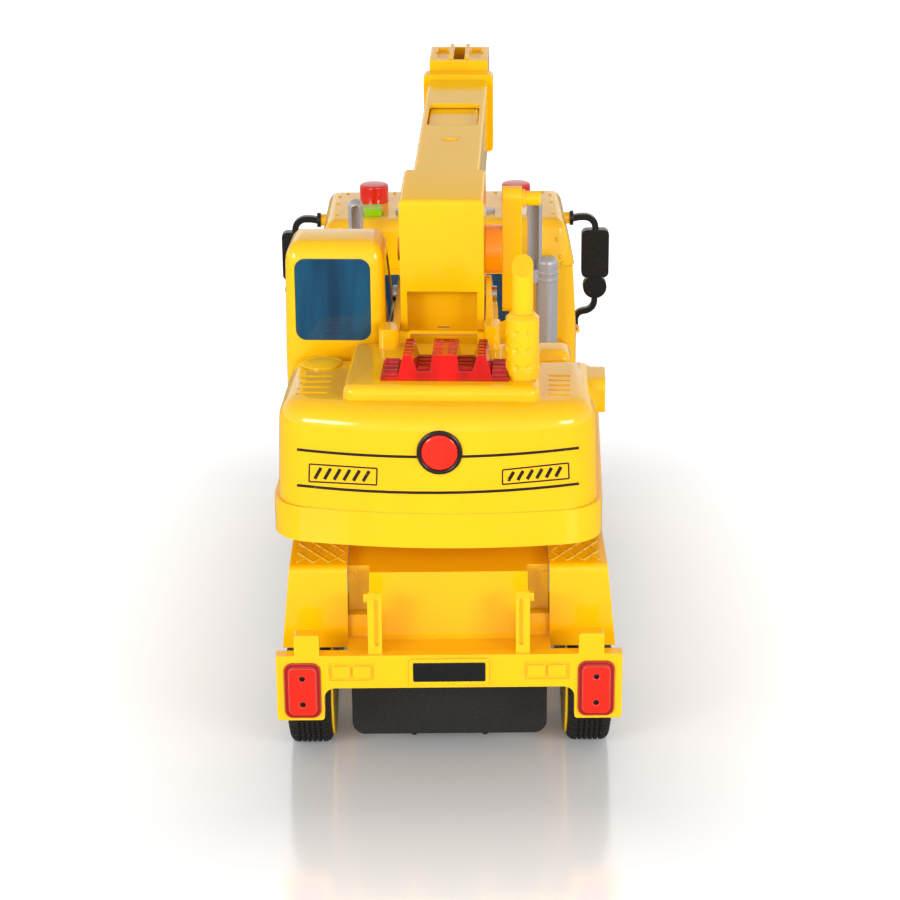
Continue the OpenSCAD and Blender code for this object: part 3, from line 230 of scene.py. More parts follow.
def grained_moulding(name, colour, fleck_and_edge_highlight, roughness=0.6, depth=0.25):
    material, tree, out, place = new_material(name)
    soft, mask = edge_nodes(tree)

    sand = {"Vector": place, "Scale": 1 / (GRAIN_MM * MM), "Detail": 3.0}
    grain = add(tree, "ShaderNodeTexNoise", inputs=sand).outputs["Fac"]
    bright = {"Value": grain, 1: SPECK_FROM, 2: SPECK_TO}
    specks = add(tree, "ShaderNodeMapRange", inputs=bright).outputs[0]
    # The pale fleck tone also goes on every edge through the edge mask: a painted edge highlight.
    painted_highlight = add(tree, "ShaderNodeMath", {"operation": "MAXIMUM"}, {0: specks, 1: mask}).outputs[0]
    tones = {"Factor": painted_highlight, 6: linear(colour), 7: linear(fleck_and_edge_highlight)}
    tint = add(tree, "ShaderNodeMix", {"data_type": "RGBA"}, tones).outputs[2]

    matt = {"Value": grain, 3: roughness - GRAIN_SMOOTHER, 4: roughness + GRAIN_ROUGHER}
    rough = add(tree, "ShaderNodeMapRange", inputs=matt).outputs[0]
    relief = {"Strength": depth, "Distance": GRAIN_DEEP_MM * MM}
    bump = add(tree, "ShaderNodeBump", inputs={"Height": grain, "Normal": soft, **relief}).outputs[0]

    skin_values = {"Base Color": tint, "Roughness": rough, "IOR": PP_IOR, "Normal": bump}
    shader = add(tree, "ShaderNodeBsdfPrincipled", inputs=skin_values)
    tree.links.new(shader.outputs[0], out.inputs[0])
    return material


# The second colour is the tone of the pale specks and of the painted edge highlight.
pan_pp = grained_moulding("black_pp_grained", "#1D1C1B", "#292827")
tyre_pvc = grained_moulding("black_pvc_tyre", "#1A1817", "#2B2826", roughness=0.55, depth=0.15)
seat_pp = grained_moulding("black_pp_seat", "#171717", "#282828", roughness=0.5)
nylon = grained_moulding("natural_nylon", "#D2CDBE", "#C4BEAC", roughness=0.45, depth=0.05)
board_fr4 = grained_moulding("green_fr4_board", "#1A5530", "#26693C", roughness=0.4, depth=0.05)
cell_jacket = grained_moulding("cell_jacket", "#3E4A2A", "#52613A", roughness=0.4, depth=0.05)
print("grained plastics made")

# %% [markdown]
# ## Silver-grey plastic
# The stacks are ABS with fine aluminium flake in it, so they are grey with a soft metal sheen. A
# pattern of small cells stands for the flakes: tone and gloss change from each cell's middle to its rim.
# Real flakes are finer; they are drawn at 0.5 mm so that they show.

# %% Flake plastic
FLAKE_MM, FLAKE_FROM, FLAKE_TO = 0.5, 0.1, 0.6
FLAKE_IOR, FLAKE_METAL = 1.5, 0.4
FLAKE_GLOSSY, FLAKE_DULL = 0.24, 0.36
silver_abs, tree, out, place = new_material("silver_abs_flake")
soft = edge_nodes(tree)[0]
cells = {"Vector": place, "Scale": 1 / (FLAKE_MM * MM)}
flake = add(tree, "ShaderNodeTexVoronoi", inputs=cells).outputs["Distance"]
sheen = {"Value": flake, 1: FLAKE_FROM, 2: FLAKE_TO, 3: FLAKE_GLOSSY, 4: FLAKE_DULL}
gloss = add(tree, "ShaderNodeMapRange", inputs=sheen).outputs[0]
tones = {"Factor": flake, 6: linear("#BFC1C6"), 7: linear("#A9ABB0")}
tint = add(tree, "ShaderNodeMix", {"data_type": "RGBA"}, tones).outputs[2]
skin_values = {"Base Color": tint, "Roughness": gloss, "Normal": soft}
skin_values.update({"Metallic": FLAKE_METAL, "IOR": FLAKE_IOR})
shader = add(tree, "ShaderNodeBsdfPrincipled", inputs=skin_values)
tree.links.new(shader.outputs[0], out.inputs[0])
print("flake plastic made")

# %% [markdown]
# ## Clear coloured plastic
# Lamps, beacons and engine cover are dyed clear polystyrene, and the windows are dyed acrylic. Light
# passes through and comes back off what lies behind, so thin walls glow and thick edges go dark. A
# stretched noise gives the faint flow streaks of a thin clear moulding, and the edge mask paints the
# edges a paler tone, a painted highlight along each rim. A tail lamp has a raised field in a lower
# frame; there the depth behind the lamp's front sets the tone instead of the streaks, and the frame is
# painted a deeper red, a painted shade in the recess.


# %% Clear plastics
PS_IOR, PMMA_IOR = 1.59, 1.49
CLEAR_ROUGH = 0.06
STREAK_MM, STREAK_STRETCH = 9.0, (1.0, 1.0, 0.12)
STREAK_FROM, STREAK_TO = 0.38, 0.64
FIELD_ENDS_MM, FRAME_STARTS_MM = 0.2, 0.7
RIM_HIGHLIGHT_SHARE = 0.7


def clear_moulding(name, colour, deep, rim, clearness, ior=PS_IOR, front=None, edge_mm=0.35):
    material, tree, out, place = new_material(name)
    soft, mask = edge_nodes(tree, edge_mm)

    if front is None:
        drawn_out = {"Vector": place, "Scale": STREAK_STRETCH}
        stretch = add(tree, "ShaderNodeMapping", inputs=drawn_out).outputs[0]
        streaks = {"Vector": stretch, "Scale": 1 / (STREAK_MM * MM)}
        tone = add(tree, "ShaderNodeTexNoise", inputs=streaks).outputs["Fac"]
        low, high = STREAK_FROM, STREAK_TO
    else:
        # On the tail lamp the tone goes by depth behind the front: the lower frame gets the deeper red, a
        # painted shade.
        tone = add(tree, "ShaderNodeSeparateXYZ", inputs={0: place}).outputs["Y"]
        low, high = front + FIELD_ENDS_MM * MM, front + FRAME_STARTS_MM * MM
    blend = add(tree, "ShaderNodeMapRange", inputs={"Value": tone, 1: low, 2: high}).outputs[0]
    tones = {"Factor": blend, 6: linear(colour), 7: linear(deep)}
    body = add(tree, "ShaderNodeMix", {"data_type": "RGBA"}, tones).outputs[2]
    # The edge mask mixes in the pale rim colour: a painted highlight along every edge.
    glow = add(tree, "ShaderNodeMath", {"operation": "MULTIPLY"}, {0: mask, 1: RIM_HIGHLIGHT_SHARE}).outputs[0]
    tones = {"Factor": glow, 6: body, 7: linear(rim)}
    tint = add(tree, "ShaderNodeMix", {"data_type": "RGBA"}, tones).outputs[2]

    skin_values = {"Base Color": tint, "Roughness": CLEAR_ROUGH, "IOR": ior, "Normal": soft}
    skin_values["Transmission Weight"] = clearness
    shader = add(tree, "ShaderNodeBsdfPrincipled", inputs=skin_values)
    tree.links.new(shader.outputs[0], out.inputs[0])
    return material


# The third colour of each is the painted rim highlight; on the tail lamp the second is the painted frame
# shade.
red_ps = clear_moulding("red_polystyrene_clear", "#FF3018", "#F41E0C", "#FF6A5C", 0.35)
lens_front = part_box("tail_lamps")[0].y
lens_red = clear_moulding(
    "red_polystyrene_lens", "#FF2A14", "#C40F06", "#FF9486", 0.3, front=lens_front, edge_mm=0.6
)
deep_red_ps = clear_moulding("deep_red_polystyrene_clear", "#FA1006", "#BE0804", "#FF5A4C", 0.25)
blue_pmma = clear_moulding("blue_acrylic_clear", "#1A6E98", "#144A70", "#5CB4D8", 0.5, ior=PMMA_IOR)
lamp_ps = clear_moulding("clear_polystyrene_lamp", "#EEF2F4", "#DFE6EA", "#FFFFFF", 0.8)
print("clear plastics made")

# %% [markdown]
# ## Steel, bright and blackened
# Axles, pins and pan screws are drawn or turned steel: a metal, with fine lines left by the tool. The
# lamp screws are blackened, so the same recipe is mixed with a darker colour. Tool lines are too fine
# to show, so they are drawn at 0.4 mm.


# %% Steel
TOOL_LINE_MM, STEEL_EDGE_MM = 0.4, 0.3
STEEL_BRIGHT, STEEL_DULL = 0.2, 0.38


def turned_steel(name, colour):
    material, tree, out, place = new_material(name)
    soft = edge_nodes(tree, STEEL_EDGE_MM)[0]
    tool = {"Vector": place, "Scale": 1 / (TOOL_LINE_MM * MM), "Detail": 1.0}
    lines = add(tree, "ShaderNodeTexNoise", inputs=tool).outputs["Fac"]
    sheen = {"Value": lines, 3: STEEL_BRIGHT, 4: STEEL_DULL}
    rough = add(tree, "ShaderNodeMapRange", inputs=sheen).outputs[0]
    skin_values = {"Base Color": linear(colour), "Metallic": 1.0, "Roughness": rough, "Normal": soft}
    shader = add(tree, "ShaderNodeBsdfPrincipled", inputs=skin_values)
    tree.links.new(shader.outputs[0], out.inputs[0])
    return material


bright_steel = turned_steel("bright_turned_steel", "#B9BBBE")
dark_steel = turned_steel("blackened_steel", "#5E3A34")
print("steels made")

# %% [markdown]
# ## Printing ink
# The lines on the tail are pad-printed: satin black with tiny chips where the ink has lifted.

# %% Ink
CHIP_MM, CHIP_FROM, CHIP_TO = 1.2, 0.72, 0.76
INK_IOR, INK_ROUGH = 1.5, 0.32
black_ink, tree, out, place = new_material("black_print_ink")
spots = {"Vector": place, "Scale": 1 / (CHIP_MM * MM), "Detail": 2.0}
chips = add(tree, "ShaderNodeTexNoise", inputs=spots).outputs["Fac"]
bare = {"Value": chips, 1: CHIP_FROM, 2: CHIP_TO}
lifted = add(tree, "ShaderNodeMapRange", inputs=bare).outputs[0]
tones = {"Factor": lifted, 6: linear("#1C130D"), 7: linear("#C79A10")}
tint = add(tree, "ShaderNodeMix", {"data_type": "RGBA"}, tones).outputs[2]
skin_values = {"Base Color": tint, "Roughness": INK_ROUGH, "IOR": INK_IOR}
shader = add(tree, "ShaderNodeBsdfPrincipled", inputs=skin_values)
tree.links.new(shader.outputs[0], out.inputs[0])
print("ink made")

# %% [markdown]
# ## Finishing the CAD pieces
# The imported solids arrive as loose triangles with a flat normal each. A small Geometry Nodes tree, used
# as a modifier so that the meshes themselves stay as packed, joins the triangles, drops the flat
# normals, and marks only real creases as sharp, so domes and tubes shade as one smooth surface.

# %% A tree that shades mouldings
CREASE_DEGREES = 32
JOIN_MM = 0.002
shading = bpy.data.node_groups.new("mould_shading", "GeometryNodeTree")
shading.interface.new_socket("Geometry", in_out="INPUT", socket_type="NodeSocketGeometry")
crease = shading.interface.new_socket("Crease angle", in_out="INPUT", socket_type="NodeSocketFloat")
shading.interface.new_socket("Geometry", in_out="OUTPUT", socket_type="NodeSocketGeometry")
crease.default_value = math.radians(CREASE_DEGREES)
loose, limit = add(shading, "NodeGroupInput").outputs[:2]
joined = {0: loose, "Distance": JOIN_MM * MM}
whole = add(shading, "GeometryNodeMergeByDistance", inputs=joined).outputs[0]
bend = add(shading, "GeometryNodeInputMeshEdgeAngle").outputs[0]
sharp = add(shading, "FunctionNodeCompare", {"operation": "GREATER_THAN"}, {0: bend, 1: limit}).outputs[0]
normals = {"Mesh": whole, "Remove Custom": True, "Edge Sharpness": sharp, "Face Sharpness": False}
smooth = add(shading, "GeometryNodeSetMeshNormal", {"mode": "SHARPNESS"}, normals).outputs[0]
add(shading, "NodeGroupOutput", inputs={0: smooth})
print("shading tree has", len(shading.nodes), "nodes")

# %% Give every CAD piece its finish
FINISH = {
    yellow_abs: (
        "chassis_shell rear_bumper slew_ring rear_platform side_lockers rear_hubs mid_hubs front_hubs "
        "cab_body cab_roof front_bumper turret_base turret_shell boom_towers muffler filler_cap "
        "operator_cab boom_shell boom_collar crank boom_extension boom_head"
    ),
    amber_abs: "winch_drum",
    pan_pp: "base_pan battery_door speaker grille",
    seat_pp: "cab_seat operator_seat",
    black_abs: "number_plate left_mirror right_mirror head_pulley",
    silver_abs: "exhaust_stacks roof_strip hook",
    white_abs: "white_button",
    lime_abs: "green_button",
    nylon: "motor_frame drive_gear idler_gear",
    red_ps: "beacons",
    lens_red: "tail_lamps",
    deep_red_ps: "engine_block",
    blue_pmma: "cab_glass operator_glass",
    lamp_ps: "headlamps",
    tyre_pvc: "rear_tyres mid_tyres front_tyres",
    bright_steel: "pan_screws rear_axle mid_axle front_axle flywheel slew_washer slew_screw boom_pin",
    board_fr4: "circuit_board",
    cell_jacket: "battery_cells",
}
for material, names in FINISH.items():
    for name in names.split():
        nodes[name].data.materials.clear()
        nodes[name].data.materials.append(material)
        nodes[name].modifiers.new("mould_shading", "NODES").node_group = shading
print("finished", len(nodes), "CAD pieces")

# %% [markdown]
# ## Making pieces
# Relief that repeats is grown by Geometry Nodes from a few sizes. Every such tree ends in Realize
# Instances and Set Material. One helper below runs a tree once and keeps the result as a plain mesh;
# another keeps a shape that was built face by face. Each piece then hangs on the body that carries it.


# %% Piece helpers
def put(obj, body):
    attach(obj, body)
    print(obj.name, "rides on", body, "with", len(obj.data.polygons), "faces")


def keep_shape(name, shape, material):
    mesh = bpy.data.meshes.new(name)
    shape.to_mesh(mesh)
    shape.free()
    mesh.materials.append(material)
    return new_object(name, mesh)


def new_tree(name, sizes):
    tree = bpy.data.node_groups.new(name, "GeometryNodeTree")
    tree.interface.new_socket("Geometry", in_out="INPUT", socket_type="NodeSocketGeometry")
    for label, kind in sizes.items():
        tree.interface.new_socket(label, in_out="INPUT", socket_type="NodeSocket" + kind)
    tree.interface.new_socket("Geometry", in_out="OUTPUT", socket_type="NodeSocketGeometry")
    return tree, add(tree, "NodeGroupInput").outputs


def end_tree(tree, geometry, finish):
    real = add(tree, "GeometryNodeRealizeInstances", inputs={0: geometry}).outputs[0]
    dressed = add(tree, "GeometryNodeSetMaterial", inputs={0: real, "Material": finish}).outputs[0]
    add(tree, "NodeGroupOutput", inputs={0: dressed})


def grow(name, tree, values, body, points, edges=()):
    base = bpy.data.meshes.new(name + "_points")
    base.from_pydata(points, edges, [])
    maker = new_object(name + "_maker", base)
    grower = maker.modifiers.new("grow", "NODES")
    grower.node_group = tree
    for item in tree.interface.items_tree:
        if item.in_out == "INPUT" and item.name in values:
            grower[item.identifier] = values[item.name]
    graph = bpy.context.evaluated_depsgraph_get()
    mesh = bpy.data.meshes.new_from_object(maker.evaluated_get(graph))
    mesh.name = name
    maker.modifiers.remove(grower)
    bpy.data.objects.remove(maker)
    put(new_object(name, mesh), body)


print("piece helpers ready")

# %% [markdown]
# ## Print on the tail
# Two fine black lines run round the tail, with a plain outlined box of slanted bars at each end. Print
# has almost no thickness, so it is laid on the shell itself: lines of sight through the picture's pixels
# are followed to the shell, and a ribbon is woven through the points they meet, just above the surface.


# %% Ribbons on a surface
PRINT_LIFT_MM = 0.05
RIBBON_STEP_PX = 2.5


def skin(*names):
    shape = bmesh.new()
    for name in names:
        shape.from_mesh(nodes[name].data)
    return BVHTree.FromBMesh(shape)


def ribbon(shape, surface, corners, width_px):
    for (u0, v0), (u1, v1) in zip(corners, corners[1:]):
        length = math.hypot(u1 - u0, v1 - v0)
        side_u, side_v = (v1 - v0) / length * width_px / 2, (u0 - u1) / length * width_px / 2
        count = max(2, int(length / RIBBON_STEP_PX))
        rows = []
        for i in range(count + 1):
            u, v = u0 + (u1 - u0) * i / count, v0 + (v1 - v0) * i / count
            row = []
            for sign in (-1, 1):
                way = sight(u + sign * side_u, v + sign * side_v)
                spot, normal, *_ = surface.ray_cast(CAMERA_PLACE, way)
                row.append(shape.verts.new(spot + normal * PRINT_LIFT_MM * MM))
            rows.append(row)
        for (a, b), (c, d) in zip(rows, rows[1:]):
            shape.faces.new((a, b, d, c))


tail_skin = skin("turret_shell")
print("tail surface found at", tail_skin.ray_cast(CAMERA_PLACE, centre_line)[0])

# %% Tail lines
FILM_MM = 0.12
LINE_PX, BOX_PX, BAR_PX = 2.7, 1.5, 3.4
TAIL_MID_U, TAIL_HALF_U, TAIL_SAG, TAIL_TILT = 438, 141, 8.4, 0.8
TAIL_LINES = ((457, ((-1.0, -0.15), (0.15, 1.0))), (492.8, ((-1.0, 1.0),)))
BOW_STEPS = 12
BOXES = (
    [(309.5, 464), (377, 468.5), (376.5, 485), (309, 481.5)],
    [(502.5, 470), (568.5, 463), (569, 478.5), (502.5, 484.5)],
)
BARS, BAR_SLANT, BAR_GAP_PX = 6, 0.6, 3

ink_shape = bmesh.new()
for v, spans in TAIL_LINES:
    for first, last in spans:
        bow = []
        for i in range(BOW_STEPS + 1):
            t = first + (last - first) * i / BOW_STEPS
            bow.append((TAIL_MID_U + TAIL_HALF_U * t, v - TAIL_SAG * t * t - TAIL_TILT * t))
        ribbon(ink_shape, tail_skin, bow, LINE_PX)
for corners in BOXES:
    ribbon(ink_shape, tail_skin, corners + corners[:1], BOX_PX)
    (u0, v0), (u1, v1), (u2, v2), (u3, v3) = corners
    for i in range(BARS):
        low, high = (i + BAR_SLANT) / (BARS + 1), (i + 2 * BAR_SLANT) / (BARS + 1)
        foot = (u3 + (u2 - u3) * low, v3 + (v2 - v3) * low - BAR_GAP_PX)
        head = (u0 + (u1 - u0) * high, v0 + (v1 - v0) * high + BAR_GAP_PX)
        ribbon(ink_shape, tail_skin, [foot, head], BAR_PX)
bmesh.ops.recalc_face_normals(ink_shape, faces=ink_shape.faces)
toward_tail = sight(TAIL_MID_U, TAIL_LINES[0][0])
inward = [face for face in ink_shape.faces if face.normal.dot(toward_tail) > 0]
bmesh.ops.reverse_faces(ink_shape, faces=inward)
tail_print = keep_shape("tail_print", ink_shape, black_ink)
film = tail_print.modifiers.new("film", "SOLIDIFY")
film.thickness = FILM_MM * MM
film.offset = -1.0
put(tail_print, "turret")

# %% [markdown]
# ## The round reflector
# In the middle of the tail is a round red reflector in a black rim. Its section is turned round the
# shell's own normal, as on a lathe: a rolled rim first, then a low lens with ring-shaped flutes.


# %% A small lathe
LATHE_STEPS = 64


def turned(name, section, spot, normal, material):
    shape = bmesh.new()
    rings = []
    for radius, height in section:
        ring = []
        for i in range(1 if radius == 0 else LATHE_STEPS):
            a = 2 * math.pi * i / LATHE_STEPS
            point = Vector((radius * math.cos(a), radius * math.sin(a), height))
            ring.append(shape.verts.new(point * MM))
        rings.append(ring)
    for low, high in zip(rings, rings[1:]):
        for i in range(LATHE_STEPS):
            a, b = low[i % len(low)], low[(i + 1) % len(low)]
            c, d = high[(i + 1) % len(high)], high[i % len(high)]
            shape.faces.new(list(dict.fromkeys((a, b, c, d))))
    bmesh.ops.recalc_face_normals(shape, faces=shape.faces)
    upright = normal.to_track_quat("Z", "Y").to_matrix().to_4x4()
    shape.transform(Matrix.Translation(spot) @ upright)
    for face in shape.faces:
        face.smooth = True
    return keep_shape(name, shape, material)


print("lathe turns in", LATHE_STEPS, "steps")

# %% Reflector
RIM_SECTION = [(6.5, -0.4), (6.5, 0.5), (6.7, 0.85), (7.1, 1.0), (7.6, 0.95)]
RIM_SECTION += [(7.9, 0.6), (8.0, 0.2), (8.0, -0.4), (6.5, -0.4)]
LENS_TOP, LENS_BOW, LENS_FLUTE = 0.75, 0.004, 0.09
LENS_RINGS, LENS_FIRST_R, LENS_STEP_R = 15, 0.5, 0.4
LENS_FOOT = [(6.48, 0.3), (6.48, -0.4), (0, -0.4)]
REFLECTOR_PX = (439.5, 452.5)

lens_section = [(0, LENS_TOP)]
for i in range(LENS_RINGS):
    radius = LENS_FIRST_R + LENS_STEP_R * i
    crest = LENS_FLUTE if i % 2 else 0
    lens_section.append((radius, LENS_TOP - LENS_BOW * radius * radius + crest))
spot, normal, *_ = tail_skin.ray_cast(CAMERA_PLACE, sight(*REFLECTOR_PX))
reflector_rim = turned("reflector_rim", RIM_SECTION, spot, normal, black_abs)
reflector_lens = turned("reflector_lens", lens_section + LENS_FOOT, spot, normal, red_ps)
put(reflector_rim, "turret")
put(reflector_lens, "turret")

# %% [markdown]
# ## Lamp screws
# Each tail lamp is held by two small dark screws that show through holes in its lens. The screw is a
# low dome with a cross slot, made once and set at the four places. Both blades of the slot are cut out
# in one step, with the solver that leaves the dome a closed shape.

# %% A tree that makes screw heads
DOME_FLAT, BLADE_LONG, BLADE_UP = 0.45, 1.3, 0.75
labels = {"Head radius": "Float", "Slot": "Float", "Turn": "Vector", "Finish": "Material"}
heads, size = new_tree("screw_heads", labels)
dome = {"Segments": 20, "Rings": 12, "Radius": size["Head radius"]}
ball = add(heads, "GeometryNodeMeshUVSphere", inputs=dome).outputs[0]
low = add(heads, "GeometryNodeTransform", inputs={0: ball, "Scale": (1.0, 1.0, DOME_FLAT)}).outputs[0]
cut = {"operation": "DIFFERENCE", "solver": "MANIFOLD"}
slotted = add(heads, "GeometryNodeMeshBoolean", cut, {0: low})
length, above = (
    add(heads, "ShaderNodeMath", {"operation": "MULTIPLY"}, {0: size["Head radius"], 1: share}).outputs[0]
    for share in (BLADE_LONG, BLADE_UP)
)
lift = add(heads, "ShaderNodeCombineXYZ", inputs={"Z": above}).outputs[0]
for across, along in ((length, size["Slot"]), (size["Slot"], length)):
    sides = add(heads, "ShaderNodeCombineXYZ", inputs={"X": across, "Y": along, "Z": length}).outputs[0]
    blade = add(heads, "GeometryNodeMeshCube", inputs={"Size": sides}).outputs[0]
    cutter = add(heads, "GeometryNodeTransform", inputs={0: blade, "Translation": lift}).outputs[0]
    heads.links.new(cutter, slotted.inputs[1])
facing = {0: slotted.outputs[0], "Rotation": size["Turn"]}
head = add(heads, "GeometryNodeTransform", inputs=facing).outputs[0]
spread = {0: size["Geometry"], "Instance": head}
end_tree(heads, add(heads, "GeometryNodeInstanceOnPoints", inputs=spread).outputs[0], size["Finish"])
print("screw tree has", len(heads.nodes), "nodes")

# %% Lamp screws
SCREW_R, SCREW_SLOT = 1.0 * MM, 0.32 * MM
LAMP_HALF_W, SCREW_OFF, SCREW_IN = 6.5 * MM, 5.1 * MM, 0.7 * MM
BACKWARDS = (math.radians(90), 0.0, 0.0)
lamp_low, lamp_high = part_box("tail_lamps")
screw_x, screw_y = lamp_high.x - LAMP_HALF_W, lamp_low.y + SCREW_IN
lamp_mid_z = (lamp_low.z + lamp_high.z) / 2
screw_places = [
    (side * screw_x, screw_y, lamp_mid_z + level * SCREW_OFF) for side in (-1, 1) for level in (-1, 1)
]
sizes = {"Head radius": SCREW_R, "Slot": SCREW_SLOT, "Turn": BACKWARDS, "Finish": dark_steel}
grow("lamp_screws", heads, sizes, "truck", screw_places)

# %% [markdown]
# ## Rivets of the cab roof, and studs of the pan
# Low round rivet heads run along the roof's sides and front and down its rear corners. A rivet is a ball
# sunk in the roof until only its cap shows, so it needs no turning; the places are found by dropping
# lines on to the roof. Two round studs under the back of the pan come from the same tree.

# %% A tree that sets round caps
balls, size = new_tree("rivet_caps", {"Cap radius": "Float", "Finish": "Material"})
cap = {"Segments": 16, "Rings": 10, "Radius": size["Cap radius"]}
ball = add(balls, "GeometryNodeMeshUVSphere", inputs=cap).outputs[0]
spread = {"Points": size["Geometry"], "Instance": ball}
caps = add(balls, "GeometryNodeInstanceOnPoints", inputs=spread).outputs[0]
round_caps = add(balls, "GeometryNodeSetShadeSmooth", inputs={0: caps}).outputs[0]
end_tree(balls, round_caps, size["Finish"])
print("cap tree has", len(balls.nodes), "nodes")

# %% Roof rivets
RIVET_R, RIVET_SINK = 1.05 * MM, 0.45 * MM
ROOF_SIDE_X, SIDE_RIVETS_Y = 48.0, (95.5, 116, 129.5)
ROOF_FRONT_Y, FRONT_RIVETS_X = 134.0, (-44.4, -23, 0, 23, 44.4)
CORNER_RIVETS_XZ = ((49, 144.8), (50.6, 137.4), (51.4, 134.4))
ABOVE_ROOF, DOWN, FORWARD = 300, (0, 0, -1), (0, 1, 0)
roof_skin = skin("cab_roof", "cab_body")
drops = [((s * ROOF_SIDE_X, y, ABOVE_ROOF), DOWN) for s in (-1, 1) for y in SIDE_RIVETS_Y]
drops += [((x, ROOF_FRONT_Y, ABOVE_ROOF), DOWN) for x in FRONT_RIVETS_X]
drops += [((s * x, 0, z), FORWARD) for s in (-1, 1) for x, z in CORNER_RIVETS_XZ]
rivet_places = []
for start, way in drops:
    spot, normal, *_ = roof_skin.ray_cast(Vector(start) * MM, Vector(way))
    rivet_places.append(spot - normal * RIVET_SINK)
sizes = {"Cap radius": RIVET_R, "Finish": yellow_abs}
grow("roof_rivets", balls, sizes, "truck", rivet_places)

# %% Studs under the pan
STUD_X, STUD_IN, STUD_R = 13.4 * MM, 1.7 * MM, 1.4 * MM
pan_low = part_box("base_pan")[0]
studs = [(side * STUD_X, pan_low.y + STUD_IN, pan_low.z) for side in (-1, 1)]
grow("pan_studs", balls, {"Cap radius": STUD_R, "Finish": pan_pp}, "truck", studs)

# %% [markdown]
# ## Fine beads: foot plates, doors, lamps and tyres
# Each rear fender has a foot plate of crossing ribs, door seams are shallow half-round beads, a headlamp
# has upright flutes in its lens, and a tyre has short ribs round its side. All are thin round bars along
# lines, so one tree serves for all: it turns the edges of a mesh into curves and sweeps a small circle
# along them.

# %% A tree that sweeps beads
BEAD_SIDES = 8
beads, size = new_tree("bead_lines", {"Bead radius": "Float", "Finish": "Material"})
paths = add(beads, "GeometryNodeMeshToCurve", inputs={0: size["Geometry"]}).outputs[0]
circle = {"Resolution": BEAD_SIDES, "Radius": size["Bead radius"]}
section = add(beads, "GeometryNodeCurvePrimitiveCircle", inputs=circle).outputs[0]
sweep = {0: paths, 1: section, "Fill Caps": True}
bars = add(beads, "GeometryNodeCurveToMesh", inputs=sweep).outputs[0]
round_bars = add(beads, "GeometryNodeSetShadeSmooth", inputs={0: bars}).outputs[0]
end_tree(beads, round_bars, size["Finish"])


def lay_beads(name, lines, radius_mm, finish, body):
    points, edges = [], []
    for line in lines:
        edges += [(len(points) + i, len(points) + i + 1) for i in range(len(line) - 1)]
        points += [Vector(p) * MM for p in line]
    sizes = {"Bead radius": radius_mm * MM, "Finish": finish}
    grow(name, beads, sizes, body, points, edges)


print("bead tree has", len(beads.nodes), "nodes")

# %% Fender ribs
FENDER_RIB_R = 0.55
TILE_X, TILE_Y, COLUMNS, ROWS = 5.8, 8.7, 3, 14
FENDER_MID_X, FENDER_MID_Y = 46.1, -74.0
FENDER_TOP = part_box("chassis_shell")[1].z / MM
for side, where in ((-1, "left"), (1, "right")):
    lattice = []
    for first in range(1 - COLUMNS, ROWS):
        for slant in (-1, 1):
            line = []
            for column in (max(0, -first), min(COLUMNS, ROWS - first)):
                x = side * FENDER_MID_X + slant * (column - COLUMNS / 2) * TILE_X
                y = FENDER_MID_Y + (first + column - ROWS / 2) * TILE_Y
                line.append((x, y, FENDER_TOP))
            lattice.append(line)
    lay_beads("fender_ribs_" + where, lattice, FENDER_RIB_R, yellow_abs, "truck")

# %% Cab doors
SEAM_R, HANDLE_R = 0.35, 0.75
BELT_Z, CAB_TOP_Z, LEAN_IN = 101.0, 133.0, 2.0
DOOR_BACK, DOOR_FRONT, DOOR_LOW = 97.0, 137.0, 66.0
DOOR_CORNER = ((0, 3), (1, 1), (3, 0))
HANDLE_Z = 97.5
HANDLE = ((99.5, -0.4), (99.8, 1.2), (100.6, 1.7), (107.4, 1.7), (108.2, 1.2), (108.5, -0.4))
CAB_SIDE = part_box("cab_body")[1].x / MM


def cab_wall(side, y, z):
    lean = max(0.0, z - BELT_Z) / (CAB_TOP_Z - BELT_Z) * LEAN_IN
    return (side * (CAB_SIDE - lean), y, z)


outline = [(DOOR_BACK, CAB_TOP_Z), (DOOR_BACK, BELT_Z)]
outline += [(DOOR_BACK + inward, DOOR_LOW + up) for inward, up in DOOR_CORNER]
outline += [(DOOR_FRONT - inward, DOOR_LOW + up) for inward, up in DOOR_CORNER[::-1]]
outline += [(DOOR_FRONT, BELT_Z), (DOOR_FRONT, CAB_TOP_Z)]
seams = [[cab_wall(side, y, z) for y, z in outline] for side in (-1, 1)]
handles = [[(side * (CAB_SIDE + proud), y, HANDLE_Z) for y, proud in HANDLE] for side in (-1, 1)]
lay_beads("door_seams", seams, SEAM_R, yellow_abs, "truck")
lay_beads("door_handles", handles, HANDLE_R, yellow_abs, "truck")

# %% Headlamp flutes
FLUTE_R, FLUTE_COUNT, FLUTE_PITCH = 0.6, 7, 2.0
FLUTE_SINK, FLUTE_SHORT = 0.1, 1.6
HEADLAMP_HALF_W = 8.5
lamp_low, lamp_high = (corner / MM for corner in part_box("headlamps"))
flutes = []
for side in (-1, 1):
    for i in range(FLUTE_COUNT):
        off_middle = FLUTE_PITCH * (i - (FLUTE_COUNT - 1) / 2)
        x = side * (lamp_high.x - HEADLAMP_HALF_W + off_middle)
        ends = (lamp_low.z + FLUTE_SHORT, lamp_high.z - FLUTE_SHORT)
        flutes.append([(x, lamp_high.y - FLUTE_SINK, z) for z in ends])
lay_beads("headlamp_flutes", flutes, FLUTE_R, lamp_ps, "truck")

# %% [markdown]
# ## Tyres with grooves
# The tread has fine grooves all the way round and short slots across it. Each tyre is turned from its
# section, as on a lathe, and where a slot crosses, the turn is carried on at the slot's floor instead.

# %% A tyre's section
TYRE_R, TYRE_W, BORE_R = 27.0, 16.2, 16.22
SHOULDER_R, SHOULDER_STEPS = 3.2, 5
GROOVES, GROOVE_W, GROOVE_DEEP = 5, 0.9, 0.8
GROOVE_FORM = ((-1, 0), (-0.6, 1), (0.6, 1), (1, 0))
RIM_SEAT = ((0, 2.4), (1.2, 1.6), (1.6, 0))
HALF_W = TYRE_W / 2


